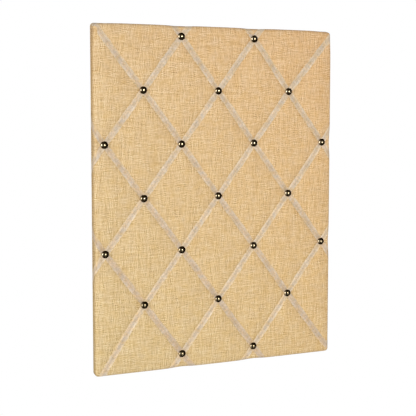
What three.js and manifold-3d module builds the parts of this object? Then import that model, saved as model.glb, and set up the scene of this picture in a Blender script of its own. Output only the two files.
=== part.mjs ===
// French memo board: a padded fabric panel with crossed ribbons held down by domed tacks.
// Millimetres, +Z up, front towards -Y, origin on the wall plane behind the middle of the board.
import * as THREE from "three";
import { mergeVertices } from "three/addons/utils/BufferGeometryUtils.js";
import Module from "manifold-3d";

const wasm = await Module();
wasm.setup();

// Board, measured over the fabric
const BOARD_WIDTH = 450;
const BOARD_HEIGHT = 600;
const EDGE_RADIUS = 4.5; // roll of the padded front edge
const FLAT_CORNER_RADIUS = 1.5; // corner of the front inside that roll
const FIT_GAP = 0.3; // clearance between pieces that touch

// Core, wadding, fabric and backing
const CORE_THICKNESS = 9;
const PAD_THICKNESS = 6.5; // at the middle of a diamond
const PAD_WRAP = 2; // wadding turned down over the core's edge
const PAD_WRAP_STOP = 1; // bare core edge behind the wadding
const FABRIC_THICKNESS = 1;
const FLAP_WIDTH = 25; // fabric turned on to the back
const FLAP_CORNER_RADIUS = 0.5;
const BACKING_THICKNESS = 0.6;
const BACKING_INSET = 8; // backing sheet's edge inside the board's edge
const BACKING_CORNER_RADIUS = 4;

// Quilted form of the pad and the fabric
const CROWN_RISE = 1.2; // middle of a diamond above the ribbon lines
const TUFT_DEPTH = 2.2; // tack's seat below the ribbon lines
const TUFT_SLOPE = 7; // run from the seat's rim up to the ribbon lines
const EDGE_DRAW = 1; // how far an outer tack draws the soft edge in

// Tacks, on a lattice of crossings
const LATTICE_STEPS = 3; // steps from the middle to the outermost tacks
const TACK_INSET_X = 19; // outermost tacks from the side edges
const TACK_INSET_TOP = 19; // top row from the top edge
const TACK_INSET_BOTTOM = 26; // bottom row from the bottom edge
const TACK_DIAMETER = 12.5;
const TACK_HEAD_HEIGHT = 4.5;
const TACK_WALL = 0.7; // pressed head is hollow
const TACK_SHANK_DIAMETER = 1.6;
const TACK_POINT = 3; // tapered end of the shank
const TACK_TIP_COVER = 2.5; // core left behind the point

// Ribbons
const RIBBON_WIDTH = 11;
const RIBBON_THICKNESS = 0.5;
const TAIL_PAST_FLAP = 17; // end on the back, past the flap's edge
const TAIL_RAMP = 5; // run from the flap down to the core
const CORNER_EXIT = 12; // ribbons on the main diagonals leave this far from a corner

// Staples, each across a ribbon's end
const STAPLE_WIRE = 0.8;
const STAPLE_LEG = 5; // bite into the core
const STAPLE_TO_END = 5; // from the ribbon's end

// Hanger: a folded strap, a D-ring in its eye and one screw
const HANGER_DROP = 40; // ring's bar below the top edge
const STRAP_WIDTH = 12;
const STRAP_LENGTH = 27;
const STRAP_SHEET = 0.8; // folded double below the eye
const SCREW_TO_END = 6; // screw from the strap's lower end
const RING_WIRE_RADIUS = 1.1;
const RING_WIDTH = 22; // between wire middles
const RING_HEIGHT = 15;
const RING_CORNER = 3;
const SCREW_HEAD_RADIUS = 3.5;
const SCREW_HEAD_HEIGHT = 2;
const SCREW_RADIUS = 1.5;
const SCREW_BITE = 6; // into the core
const SCREW_POINT = 2.5;

// Wall bumpers
const BUMPER_THICKNESS = 5;
const BUMPER_RADIUS = 6;
const BUMPER_CHAMFER = 1;
const BUMPER_INSET = 30; // from the side and bottom edges

const HALF_WIDTH = BOARD_WIDTH / 2;
const HALF_HEIGHT = BOARD_HEIGHT / 2;
const CORNER_RADIUS = FLAT_CORNER_RADIUS + EDGE_RADIUS;
const PITCH_X = (HALF_WIDTH - TACK_INSET_X) / LATTICE_STEPS;
const PITCH_Z = (BOARD_HEIGHT - TACK_INSET_TOP - TACK_INSET_BOTTOM) / (2 * LATTICE_STEPS);
const LATTICE_RISE = (TACK_INSET_BOTTOM - TACK_INSET_TOP) / 2; // lattice's middle above the board's

// Layers from the wall forwards, as Y of each face
const FLAP_STACK = FABRIC_THICKNESS + RIBBON_THICKNESS + 3 * FIT_GAP;
const STAPLE_STACK = RIBBON_THICKNESS + STAPLE_WIRE + 3 * FIT_GAP;
const BACKING_REAR = -BUMPER_THICKNESS - FIT_GAP;
const BACKING_FRONT = BACKING_REAR - BACKING_THICKNESS;
const CORE_REAR = BACKING_FRONT - Math.max(FLAP_STACK, STAPLE_STACK);
const CORE_FRONT = CORE_REAR - CORE_THICKNESS;
const FLAP_FRONT = CORE_REAR + FIT_GAP;
const FLAP_REAR = FLAP_FRONT + FABRIC_THICKNESS;
const PAD_REAR = CORE_FRONT - FIT_GAP;
const COVER_OVER_PAD = FIT_GAP + FABRIC_THICKNESS; // fabric's outside above the pad
const VALLEY = PAD_THICKNESS - CROWN_RISE; // pad along the ribbon lines
const SEAT = VALLEY - TUFT_DEPTH; // pad under a tack
const EDGE_FRONT = PAD_REAR - VALLEY - COVER_OVER_PAD; // fabric where the edge roll starts
const CORE_INSET = FABRIC_THICKNESS + PAD_WRAP + 2 * FIT_GAP;

// Ribbons lean by LEAN from the vertical; their crossing fits the tack's flat seat.
const LEAN = Math.atan2(PITCH_X, PITCH_Z);
const SEAT_RADIUS = RIBBON_WIDTH / 2 / (Math.sin(LEAN) * Math.cos(LEAN));
const TUFT_RADIUS = SEAT_RADIUS + TUFT_SLOPE;
const LEAN_BACK = (RIBBON_WIDTH / 2) * Math.tan(LEAN);
const CROSSING_HALF = SEAT_RADIUS - LEAN_BACK;
const RISE_END = TUFT_RADIUS - LEAN_BACK;
const TACK_HOLE_RADIUS = TACK_SHANK_DIAMETER / 2 + FIT_GAP;
const HOLE_SIDES = 5;

const finishes = {
  core: { color: 0x9c7b54, roughness: 0.85, metalness: 0 },
  wadding: { color: 0xf1eee6, roughness: 0.95, metalness: 0 },
  linen: { color: 0xddbd8d, roughness: 0.9, metalness: 0 },
  ribbon: { color: 0xd7c3aa, roughness: 0.7, metalness: 0 },
  bronze: { color: 0x3a2f24, roughness: 0.25, metalness: 1 },
  backing: { color: 0x8d8478, roughness: 0.95, metalness: 0 },
  steel: { color: 0xb9bcc0, roughness: 0.35, metalness: 1 },
  felt: { color: 0x4c463f, roughness: 1, metalness: 0 },
};

const board = new THREE.Group();

function addPiece(name, geometry, finish, parent = board) {
  const mesh = new THREE.Mesh(geometry, new THREE.MeshStandardMaterial(finishes[finish]));
  mesh.name = name;
  parent.add(mesh);
  return mesh;
}

// Closed solids for joining and cutting
function toSolid(geometry) {
  const bare = geometry.clone();
  bare.deleteAttribute("normal");
  bare.deleteAttribute("uv");
  const merged = mergeVertices(bare, 1e-4);
  return new wasm.Manifold(
    new wasm.Mesh({
      numProp: 3,
      vertProperties: new Float32Array(merged.attributes.position.array),
      triVerts: new Uint32Array(merged.index.array),
    }),
  );
}

function toGeometry(solid) {
  const mesh = solid.getMesh();
  const geometry = new THREE.BufferGeometry();
  geometry.setAttribute("position", new THREE.BufferAttribute(mesh.vertProperties, 3));
  geometry.setIndex(new THREE.BufferAttribute(mesh.triVerts, 1));
  return geometry;
}

function cut(geometry, cutters) {
  let solid = toSolid(geometry);
  for (const cutter of cutters) {
    solid = solid.subtract(toSolid(cutter));
  }
  return toGeometry(solid);
}

// A round hole along Y, its flats at the given radius
function drill(x, z, fromY, toY, radius, sides = HOLE_SIDES) {
  const reach = radius / Math.cos(Math.PI / sides);
  const geometry = new THREE.CylinderGeometry(reach, reach, Math.abs(toY - fromY), sides);
  return geometry.translate(x, (fromY + toY) / 2, z);
}

function roundedRectangle(halfWidth, halfHeight, radius) {
  const shape = new THREE.Shape();
  shape.absarc(halfWidth - radius, halfHeight - radius, radius, 0, Math.PI / 2);
  shape.absarc(radius - halfWidth, halfHeight - radius, radius, Math.PI / 2, Math.PI);
  shape.absarc(radius - halfWidth, radius - halfHeight, radius, Math.PI, Math.PI * 1.5);
  shape.absarc(halfWidth - radius, radius - halfHeight, radius, Math.PI * 1.5, Math.PI * 2);
  return shape;
}

// A flat sheet standing in the XZ plane, from its rear face forwards
function slab(shape, rearY, thickness, curveSegments = 3) {
  const geometry = new THREE.ExtrudeGeometry(shape, { depth: thickness, bevelEnabled: false, curveSegments });
  return geometry.rotateX(Math.PI / 2).translate(0, rearY, 0);
}

// The four edges, anticlockwise from the front: distance out, half length, lattice pitch and middle along it
const edges = [
  { out: [0, -1], reach: HALF_HEIGHT, half: HALF_WIDTH, pitch: PITCH_X, middle: 0 },
  { out: [1, 0], reach: HALF_WIDTH, half: HALF_HEIGHT, pitch: PITCH_Z, middle: LATTICE_RISE },
  { out: [0, 1], reach: HALF_HEIGHT, half: HALF_WIDTH, pitch: PITCH_X, middle: 0 },
  { out: [-1, 0], reach: HALF_WIDTH, half: HALF_HEIGHT, pitch: PITCH_Z, middle: -LATTICE_RISE },
].map((edge) => ({
  ...edge,
  out: new THREE.Vector2(...edge.out),
  along: new THREE.Vector2(-edge.out[1], edge.out[0]),
}));

function onEdge(edge, out, along) {
  return edge.out.clone().multiplyScalar(out).addScaledVector(edge.along, along);
}

function hasTack(i, j) {
  const corner = Math.abs(i) === LATTICE_STEPS && Math.abs(j) === LATTICE_STEPS;
  return (i + j) % 2 === 0 && !corner;
}

// Inward draw of the soft edge, fading from each outer tack to the next lattice point
function edgeDraw(edge, along) {
  let draw = 0;
  for (let i = -LATTICE_STEPS; i <= LATTICE_STEPS; i++) {
    if (hasTack(i, LATTICE_STEPS)) {
      const away = Math.abs(along - edge.middle - i * edge.pitch);
      draw = Math.max(draw, EDGE_DRAW * (1 - away / edge.pitch));
    }
  }
  return draw;
}

// A closed ring of points inside the board's outline, with the soft edge drawn in by a share
function outlineRing(inset, drawShare = 0) {
  const radius = Math.max(CORNER_RADIUS - inset, FLAP_CORNER_RADIUS);
  const ring = [];
  for (const edge of edges) {
    const straight = edge.half - inset - radius;
    const stretch = straight / (edge.half - CORNER_RADIUS);
    for (let i = -LATTICE_STEPS; i <= LATTICE_STEPS; i++) {
      const along = edge.middle + i * edge.pitch;
      const draw = drawShare * edgeDraw(edge, along);
      ring.push(onEdge(edge, edge.reach - inset - draw, along * stretch));
    }
    for (const turn of [0, Math.PI / 4, Math.PI / 2]) {
      const out = edge.reach - inset - radius + radius * Math.cos(turn);
      ring.push(onEdge(edge, out, straight + radius * Math.sin(turn)));
    }
  }
  return ring;
}

// Points of the quilted front, each with the pad's thickness there
const quiltRim = outlineRing(EDGE_RADIUS, 1);
const quiltPoints = quiltRim.map((place) => ({ place, height: VALLEY }));
const tackPlaces = [];

function addQuiltPoint(x, z, height) {
  const margin = EDGE_RADIUS + EDGE_DRAW + FIT_GAP;
  if (Math.abs(x) < HALF_WIDTH - margin && Math.abs(z) < HALF_HEIGHT - margin) {
    quiltPoints.push({ place: new THREE.Vector2(x, z), height });
  }
}

// A seat near an edge leaves room for its slope
function keepIn(value, half) {
  const limit = half - EDGE_RADIUS - EDGE_DRAW - TUFT_SLOPE / 2;
  return THREE.MathUtils.clamp(value, -limit, limit);
}

// Six points round a tack: along both ribbons and level with the tack
const UP = Math.PI / 2;
const tuftDirections = [0, UP - LEAN, UP + LEAN, 2 * UP, -UP - LEAN, LEAN - UP];

for (let j = LATTICE_STEPS; j >= -LATTICE_STEPS; j--) {
  for (let i = -LATTICE_STEPS; i <= LATTICE_STEPS; i++) {
    const x = i * PITCH_X;
    const z = LATTICE_RISE + j * PITCH_Z;
    if (hasTack(i, j)) {
      tackPlaces.push({ i, j, x, z });
      for (const turn of tuftDirections) {
        const seatX = x + SEAT_RADIUS * Math.cos(turn);
        const seatZ = z + SEAT_RADIUS * Math.sin(turn);
        addQuiltPoint(keepIn(seatX, HALF_WIDTH), keepIn(seatZ, HALF_HEIGHT), SEAT);
        addQuiltPoint(x + TUFT_RADIUS * Math.cos(turn), z + TUFT_RADIUS * Math.sin(turn), VALLEY);
      }
    } else {
      addQuiltPoint(x, z, (i + j) % 2 === 0 ? VALLEY : PAD_THICKNESS);
    }
    if (i < LATTICE_STEPS && j < LATTICE_STEPS) {
      addQuiltPoint(x + PITCH_X / 2, z + PITCH_Z / 2, VALLEY);
    }
  }
}

// Triangles between scattered points, each with no other point inside its circle.
// The places are bulged and sheared a little first, so that rim points never lie in one line
// and mirrored points never lie on one circle.
function triangulate(places) {
  const bulge = 0.03;
  const shear = 0.013;
  const spots = places.map(({ x, y }) => {
    const wide = x * (1 + bulge * (1 - (y / HALF_HEIGHT) ** 2));
    const tall = y * (1 + bulge * (1 - (x / HALF_WIDTH) ** 2));
    return new THREE.Vector2(wide + shear * tall, tall);
  });
  const far = 1000 * (BOARD_WIDTH + BOARD_HEIGHT);
  const count = spots.length;
  spots.push(new THREE.Vector2(-far, -far), new THREE.Vector2(far, -far), new THREE.Vector2(0, far));

  function withCircle(corners) {
    const [a, b, c] = corners.map((k) => spots[k]);
    const ab = b.clone().sub(a);
    const ac = c.clone().sub(a);
    const twice = 2 * ab.cross(ac);
    const offset = new THREE.Vector2(
      (ac.y * ab.lengthSq() - ab.y * ac.lengthSq()) / twice,
      (ab.x * ac.lengthSq() - ac.x * ab.lengthSq()) / twice,
    );
    return { corners, centre: a.clone().add(offset), reach: offset.lengthSq() };
  }

  let triangles = [withCircle([count, count + 1, count + 2])];
  for (let k = 0; k < count; k++) {
    const hit = triangles.filter((t) => t.centre.distanceToSquared(spots[k]) < t.reach);
    const rim = new Map();
    for (const { corners } of hit) {
      for (let m = 0; m < 3; m++) {
        const from = corners[m];
        const to = corners[(m + 1) % 3];
        if (!rim.delete(`${to},${from}`)) {
          rim.set(`${from},${to}`, [from, to]);
        }
      }
    }
    triangles = triangles.filter((t) => !hit.includes(t));
    for (const [from, to] of rim.values()) {
      triangles.push(withCircle([from, to, k]));
    }
  }
  return triangles.map((t) => t.corners).filter((corners) => Math.max(...corners) < count);
}

const straightRim = outlineRing(EDGE_RADIUS);
const quiltFaces = triangulate(quiltPoints.map(({ place }, k) => straightRim[k] ?? place));

// Pad thickness at any place on the quilted front
function padHeight(place) {
  for (const corners of quiltFaces) {
    const [a, b, c] = corners.map((k) => quiltPoints[k]);
    const ab = b.place.clone().sub(a.place);
    const ac = c.place.clone().sub(a.place);
    const ap = place.clone().sub(a.place);
    const area = ab.cross(ac);
    const toB = ap.cross(ac) / area;
    const toC = ab.cross(ap) / area;
    if (toB >= 0 && toC >= 0 && toB + toC <= 1) {
      return a.height + toB * (b.height - a.height) + toC * (c.height - a.height);
    }
  }
  return VALLEY;
}

// A closed skin made of the quilted front and rings of points, one after another
class Skin {
  points = [];
  faces = [];

  quilt(raise, facingFront) {
    const first = this.points.length / 3;
    for (const { place, height } of quiltPoints) {
      this.points.push(place.x, PAD_REAR - height - raise, place.y);
    }
    for (const [a, b, c] of quiltFaces) {
      const corners = facingFront ? [a, b, c] : [a, c, b];
      this.faces.push(...corners.map((k) => first + k));
    }
    return quiltRim.map((_, k) => first + k);
  }

  ring(places, y) {
    const first = this.points.length / 3;
    for (const place of places) {
      this.points.push(place.x, y, place.y);
    }
    return places.map((_, k) => first + k);
  }

  gap(a, b) {
    return Math.hypot(...[0, 1, 2].map((axis) => this.points[3 * a + axis] - this.points[3 * b + axis]));
  }

  // Squares between rings are split along the longer diagonal, so a drawn-in edge stays hollow
  joinRings(rings, facingOut) {
    for (let r = 1; r < rings.length; r++) {
      const front = rings[r - 1];
      const back = rings[r];
      front.forEach((corner, k) => {
        const next = (k + 1) % front.length;
        const crossing = this.gap(corner, back[next]) > this.gap(front[next], back[k]);
        const pair = crossing
          ? [[corner, back[k], back[next]], [corner, back[next], front[next]]]
          : [[corner, back[k], front[next]], [back[k], back[next], front[next]]];
        for (const [a, b, c] of pair) {
          this.faces.push(...(facingOut ? [a, b, c] : [a, c, b]));
        }
      });
    }
  }

  closeRing(ring, y) {
    const middle = this.points.length / 3;
    this.points.push(0, y, 0);
    ring.forEach((corner, k) => this.faces.push(middle, ring[(k + 1) % ring.length], corner));
  }

  geometry() {
    const geometry = new THREE.BufferGeometry();
    geometry.setAttribute("position", new THREE.Float32BufferAttribute(this.points, 3));
    geometry.setIndex(this.faces);
    return geometry;
  }
}

// Tack holes through the soft layers and the ribbons
const HOLE_START = EDGE_FRONT - PAD_THICKNESS;
function tackHoles(places) {
  return places.map(({ x, z }) => drill(x, z, HOLE_START, CORE_FRONT, TACK_HOLE_RADIUS));
}

// Wadding: quilted front, soft edge and a lip turned down round the core
const pad = new Skin();
const lipOutside = FABRIC_THICKNESS + FIT_GAP;
const lipInside = CORE_INSET - FIT_GAP;
const lipRear = CORE_REAR - PAD_WRAP_STOP;
const padBed = pad.ring(outlineRing(lipInside), PAD_REAR);
const padRings = [
  pad.quilt(0, true),
  pad.ring(outlineRing(lipOutside, 1), EDGE_FRONT + EDGE_RADIUS + FIT_GAP),
  pad.ring(outlineRing(lipOutside), lipRear),
  pad.ring(outlineRing(lipInside), lipRear),
  padBed,
];
pad.joinRings(padRings, true);
pad.closeRing(padBed, PAD_REAR);
addPiece("wadding_pad", cut(pad.geometry(), tackHoles(tackPlaces)), "wadding");

// Fabric cover: front, rolled edge, sides and the flap on the back, inside and out
const cover = new Skin();
const rollTurn = Math.PI / 4;
const rollInset = EDGE_RADIUS * (1 - Math.sin(rollTurn));
const rollDrop = EDGE_RADIUS * (1 - Math.cos(rollTurn));
const flapEdge = cover.ring(outlineRing(FLAP_WIDTH), FLAP_FRONT);
const outsideRings = [
  cover.quilt(COVER_OVER_PAD, true),
  cover.ring(outlineRing(rollInset, 1), EDGE_FRONT + rollDrop),
  cover.ring(outlineRing(0, 1), EDGE_FRONT + EDGE_RADIUS),
  cover.ring(outlineRing(0), FLAP_REAR),
  cover.ring(outlineRing(FLAP_WIDTH), FLAP_REAR),
  flapEdge,
];
const insideRings = [
  cover.quilt(FIT_GAP, false),
  cover.ring(outlineRing(FABRIC_THICKNESS, 1), EDGE_FRONT + EDGE_RADIUS),
  cover.ring(outlineRing(FABRIC_THICKNESS), FLAP_FRONT),
  flapEdge,
];
cover.joinRings(outsideRings, true);
cover.joinRings(insideRings, false);
addPiece("fabric_cover", cut(cover.geometry(), tackHoles(tackPlaces)), "linen");

// Ribbon levels over a tack's seat, as heights above the core side of the pad
const LOWER_RIBBON = SEAT + COVER_OVER_PAD + FIT_GAP;
const UPPER_RIBBON = LOWER_RIBBON + RIBBON_THICKNESS + FIT_GAP;
const TACK_RIM = UPPER_RIBBON + RIBBON_THICKNESS + FIT_GAP;
const RISEN_RIBBON = VALLEY + COVER_OVER_PAD + FIT_GAP; // clear of the seat

// Ribbon stations hold the four corners of a cross-section: underside left, right, top right, left
function flatStation(place, heading, level) {
  const aside = new THREE.Vector2(-heading.y, heading.x);
  let under = level;
  for (const share of [-1, -0.5, 0, 0.5, 1]) {
    const spot = place.clone().addScaledVector(aside, (share * RIBBON_WIDTH) / 2);
    under = Math.max(under, padHeight(spot) + COVER_OVER_PAD + FIT_GAP);
  }
  const left = place.clone().addScaledVector(aside, RIBBON_WIDTH / 2);
  const right = place.clone().addScaledVector(aside, -RIBBON_WIDTH / 2);
  const underY = PAD_REAR - under;
  const topY = underY - RIBBON_THICKNESS;
  return [
    new THREE.Vector3(left.x, underY, left.y),
    new THREE.Vector3(right.x, underY, right.y),
    new THREE.Vector3(right.x, topY, right.y),
    new THREE.Vector3(left.x, topY, left.y),
  ];
}

// Round the edge a ribbon keeps its lean. On the back it runs straight in to its end,
// or from beside a corner diagonally in, clear of both flaps.
const rollLength = (EDGE_RADIUS * Math.PI) / 2;
const sideLength = FLAP_REAR - EDGE_FRONT - EDGE_RADIUS;
const rollReach = 1 / Math.cos(rollTurn / 2);
const RIBBON_TAIL = FLAP_WIDTH + TAIL_PAST_FLAP;
const wrapProfile = [
  { inset: EDGE_RADIUS, y: EDGE_FRONT, out: 0, back: -1, draw: 1, run: 0 },
  {
    inset: rollInset,
    y: EDGE_FRONT + rollDrop,
    out: rollReach * Math.sin(rollTurn),
    back: -rollReach * Math.cos(rollTurn),
    draw: 1,
    run: rollLength / 2,
  },
  { inset: 0, y: EDGE_FRONT + EDGE_RADIUS, out: 1, back: 0, draw: 1, run: rollLength },
  { inset: 0, y: FLAP_REAR, out: 1, back: 1, draw: 0, run: rollLength + sideLength },
  { inset: FLAP_WIDTH + FIT_GAP, y: FLAP_REAR, out: 0, back: 1, tail: true },
  { inset: FLAP_WIDTH + FIT_GAP + TAIL_RAMP, y: CORE_REAR, out: 0, back: 1, tail: true },
  { inset: RIBBON_TAIL, y: CORE_REAR, out: 0, back: 1, tail: true },
];

function wrapStations(exit) {
  const { edge, along, drift, halfWidth, tailDrift } = exit;
  const tailHalf = (RIBBON_WIDTH / 2) * Math.hypot(1, tailDrift);
  return wrapProfile.map(({ inset, y, out, back, draw, run, tail }) => {
    const middle = tail ? tailAlong(exit, inset) : along + drift * run;
    const half = tail ? tailHalf : halfWidth;
    const corner = (side, offset) => {
      const at = middle + side * half;
      const drawn = tail ? 0 : draw * edgeDraw(edge, at);
      const place = onEdge(edge, edge.reach - inset - drawn + out * offset, at);
      return new THREE.Vector3(place.x, y + back * offset, place.y);
    };
    const top = FIT_GAP + RIBBON_THICKNESS;
    return [corner(1, FIT_GAP), corner(-1, FIT_GAP), corner(-1, top), corner(1, top)];
  });
}

function tailAlong({ along, drift, tailDrift }, inset) {
  return along + drift * (rollLength + sideLength) + tailDrift * inset;
}

// Where a ribbon leaves the front past its last tack: straight on, or beside a corner
function ribbonExit(tack, before) {
  const from = new THREE.Vector2(tack.x, tack.z);
  const heading = from.clone().sub(new THREE.Vector2(before.x, before.z)).normalize();
  const onRim = Math.abs(tack.i) === LATTICE_STEPS || Math.abs(tack.j) === LATTICE_STEPS;
  const sideways = onRim ? Math.abs(tack.i) === LATTICE_STEPS : heading.x > 0;
  const edge = edges.find(({ out }) => (sideways ? out.x * heading.x > 0 : out.y * heading.y > 0));
  const cornerSide = onRim ? 0 : Math.sign(edge.along.dot(heading));
  if (cornerSide) {
    const corner = onEdge(edge, edge.reach, cornerSide * (edge.half - CORNER_EXIT));
    heading.copy(corner).sub(from).normalize();
  }
  const outward = heading.dot(edge.out);
  const drift = heading.dot(edge.along) / outward;
  const toRim = edge.reach - EDGE_RADIUS - from.dot(edge.out);
  return {
    edge,
    heading,
    along: from.dot(edge.along) + drift * toRim,
    drift: onRim ? drift : 0,
    tailDrift: -cornerSide,
    halfWidth: RIBBON_WIDTH / 2 / outward,
    run: toRim / outward,
    skew: (RIBBON_WIDTH / 2) * Math.abs(drift),
  };
}

// Stations between two points on the front: steps along the run, with the least level under the ribbon
function runStations(from, heading, steps) {
  return steps.map(({ at, level = 0 }) => {
    const place = new THREE.Vector2(from.x, from.z).addScaledVector(heading, at);
    return flatStation(place, heading, level);
  });
}

function ribbonGeometry(stations) {
  const points = stations.flat().flatMap((corner) => corner.toArray());
  const faces = [0, 1, 2, 0, 2, 3];
  for (let s = 1; s < stations.length; s++) {
    for (let side = 0; side < 4; side++) {
      const next = (side + 1) % 4;
      const a = 4 * (s - 1) + side;
      const b = 4 * s + side;
      const c = 4 * s + next;
      const d = 4 * (s - 1) + next;
      faces.push(a, b, c, a, c, d);
    }
  }
  const end = 4 * (stations.length - 1);
  faces.push(end, end + 2, end + 1, end, end + 3, end + 2);
  const geometry = new THREE.BufferGeometry();
  geometry.setAttribute("position", new THREE.Float32BufferAttribute(points, 3));
  geometry.setIndex(faces);
  return geometry;
}

// One ribbon through its tacks, with both ends taken over the edges to the back
function ribbon(tacks, crossingLevel) {
  const first = ribbonExit(tacks[0], tacks[1]);
  const last = ribbonExit(tacks.at(-1), tacks.at(-2));
  const outRun = ({ run, skew }) => {
    const rise = [
      { at: CROSSING_HALF, level: crossingLevel },
      { at: (CROSSING_HALF + RISE_END) / 2 },
      { at: RISE_END, level: RISEN_RIBBON },
    ].filter(({ at }) => at < run - skew - FIT_GAP);
    return run > 4 * RISE_END ? [...rise, { at: run / 2 }] : rise;
  };
  const stations = [];
  const startRun = runStations(tacks[0], first.heading, outRun(first));
  for (const outward of [...startRun, ...wrapStations(first)].reverse()) {
    const [left, right, topRight, topLeft] = outward;
    stations.push([right, left, topLeft, topRight]);
  }
  for (let k = 1; k < tacks.length; k++) {
    const from = new THREE.Vector2(tacks[k - 1].x, tacks[k - 1].z);
    const heading = new THREE.Vector2(tacks[k].x, tacks[k].z).sub(from);
    const length = heading.length();
    const steps = [
      { at: CROSSING_HALF, level: crossingLevel },
      { at: RISE_END, level: RISEN_RIBBON },
      { at: length / 2 },
      { at: length - RISE_END, level: RISEN_RIBBON },
      { at: length - CROSSING_HALF, level: crossingLevel },
    ];
    stations.push(...runStations(tacks[k - 1], heading.normalize(), steps));
  }
  stations.push(...runStations(tacks.at(-1), last.heading, outRun(last)));
  stations.push(...wrapStations(last));
  return { geometry: cut(ribbonGeometry(stations), tackHoles(tacks)), ends: [first, last] };
}

// A staple across a ribbon's end, its legs in the bare core on each side
const stapleHalf = RIBBON_WIDTH / 2 + FIT_GAP + STAPLE_WIRE;
const stapleUnder = RIBBON_THICKNESS + 2 * FIT_GAP;

function stapleGeometry() {
  const shape = new THREE.Shape();
  shape.moveTo(-stapleHalf, -STAPLE_LEG);
  shape.lineTo(STAPLE_WIRE - stapleHalf, -STAPLE_LEG);
  shape.lineTo(STAPLE_WIRE - stapleHalf, stapleUnder);
  shape.lineTo(stapleHalf - STAPLE_WIRE, stapleUnder);
  shape.lineTo(stapleHalf - STAPLE_WIRE, -STAPLE_LEG);
  shape.lineTo(stapleHalf, -STAPLE_LEG);
  shape.lineTo(stapleHalf, stapleUnder + STAPLE_WIRE);
  shape.lineTo(-stapleHalf, stapleUnder + STAPLE_WIRE);
  const geometry = new THREE.ExtrudeGeometry(shape, { depth: STAPLE_WIRE, bevelEnabled: false });
  return geometry.translate(0, 0, -STAPLE_WIRE / 2);
}

const coreCutters = tackPlaces.map(({ x, z }) => {
  return drill(x, z, HOLE_START, CORE_REAR - TACK_TIP_COVER + FIT_GAP, TACK_HOLE_RADIUS);
});

let stapleCount = 0;
function addStaple(exit) {
  const { edge, tailDrift } = exit;
  const inset = RIBBON_TAIL - STAPLE_TO_END;
  const crown = onEdge(edge, edge.reach - inset, tailAlong(exit, inset));
  const across = onEdge(edge, tailDrift, 1).normalize();
  const sideways = new THREE.Vector3(across.x, 0, across.y);
  const rearwards = new THREE.Vector3(0, 1, 0);
  const placing = new THREE.Matrix4().makeBasis(sideways, rearwards, sideways.clone().cross(rearwards));
  placing.setPosition(crown.x, CORE_REAR, crown.y);
  stapleCount += 1;
  addPiece(`staple_${stapleCount}`, stapleGeometry().applyMatrix4(placing), "steel");
  for (const side of [-1, 1]) {
    const width = STAPLE_WIRE + 2 * FIT_GAP;
    const hole = new THREE.BoxGeometry(width, 2 * (STAPLE_LEG + FIT_GAP), width);
    hole.translate(side * (stapleHalf - STAPLE_WIRE / 2), 0, 0);
    coreCutters.push(hole.applyMatrix4(placing));
  }
}

// Falling ribbons are laid first, rising ones over them
const layings = [
  { name: "falling", level: LOWER_RIBBON, line: ({ i, j }) => i + j },
  { name: "rising", level: UPPER_RIBBON, line: ({ i, j }) => i - j },
];
for (const { name, level, line } of layings) {
  const lines = [...new Set(tackPlaces.map(line))].sort((a, b) => a - b);
  lines.forEach((value, k) => {
    const tacks = tackPlaces.filter((tack) => line(tack) === value).sort((a, b) => a.i - b.i);
    const { geometry, ends } = ribbon(tacks, level);
    addPiece(`ribbon_${name}_${k + 1}`, geometry, "ribbon");
    ends.forEach(addStaple);
  });
}

// Domed tacks: a hollow pressed head and a pointed shank, turned about Y
const TURNED_SIDES = 12;
function turned(profile, sides = TURNED_SIDES) {
  return new THREE.LatheGeometry(profile.map(([r, y]) => new THREE.Vector2(r, y)), sides);
}

function domeProfile(radius, height, steps) {
  const sphere = (radius ** 2 + height ** 2) / (2 * height);
  const spread = Math.asin(radius / sphere);
  return Array.from({ length: steps + 1 }, (_, k) => {
    const turn = (spread * k) / steps;
    return [sphere * Math.sin(turn), sphere - height - sphere * Math.cos(turn)];
  });
}

const tackRimY = PAD_REAR - TACK_RIM;
const tackTip = CORE_REAR - TACK_TIP_COVER - tackRimY;
const shankRadius = TACK_SHANK_DIAMETER / 2;
const insideDome = domeProfile(TACK_DIAMETER / 2 - TACK_WALL, TACK_HEAD_HEIGHT - TACK_WALL, 3);
const tackProfile = [
  ...domeProfile(TACK_DIAMETER / 2, TACK_HEAD_HEIGHT, 4),
  insideDome[3],
  insideDome[2],
  [shankRadius, insideDome[0][1]],
  [shankRadius, tackTip - TACK_POINT],
  [0, tackTip],
];
const tacksInRow = new Map();
for (const { j, x, z } of tackPlaces) {
  const row = LATTICE_STEPS - j + 1;
  tacksInRow.set(row, (tacksInRow.get(row) ?? 0) + 1);
  const mesh = addPiece(`tack_row${row}_${tacksInRow.get(row)}`, turned(tackProfile), "bronze");
  mesh.position.set(x, tackRimY, z);
}

// Backing sheet over the back, with a hole for the hanger's screw
const barZ = HALF_HEIGHT - HANGER_DROP;
const screwZ = barZ - STRAP_LENGTH + SCREW_TO_END;
const screwHole = SCREW_RADIUS + FIT_GAP;
const backingShape = roundedRectangle(
  HALF_WIDTH - BACKING_INSET,
  HALF_HEIGHT - BACKING_INSET,
  BACKING_CORNER_RADIUS,
);
const backing = slab(backingShape, BACKING_REAR, BACKING_THICKNESS);
addPiece("backing_sheet", cut(backing, [drill(0, screwZ, CORE_REAR, 0, screwHole)]), "backing");

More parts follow.
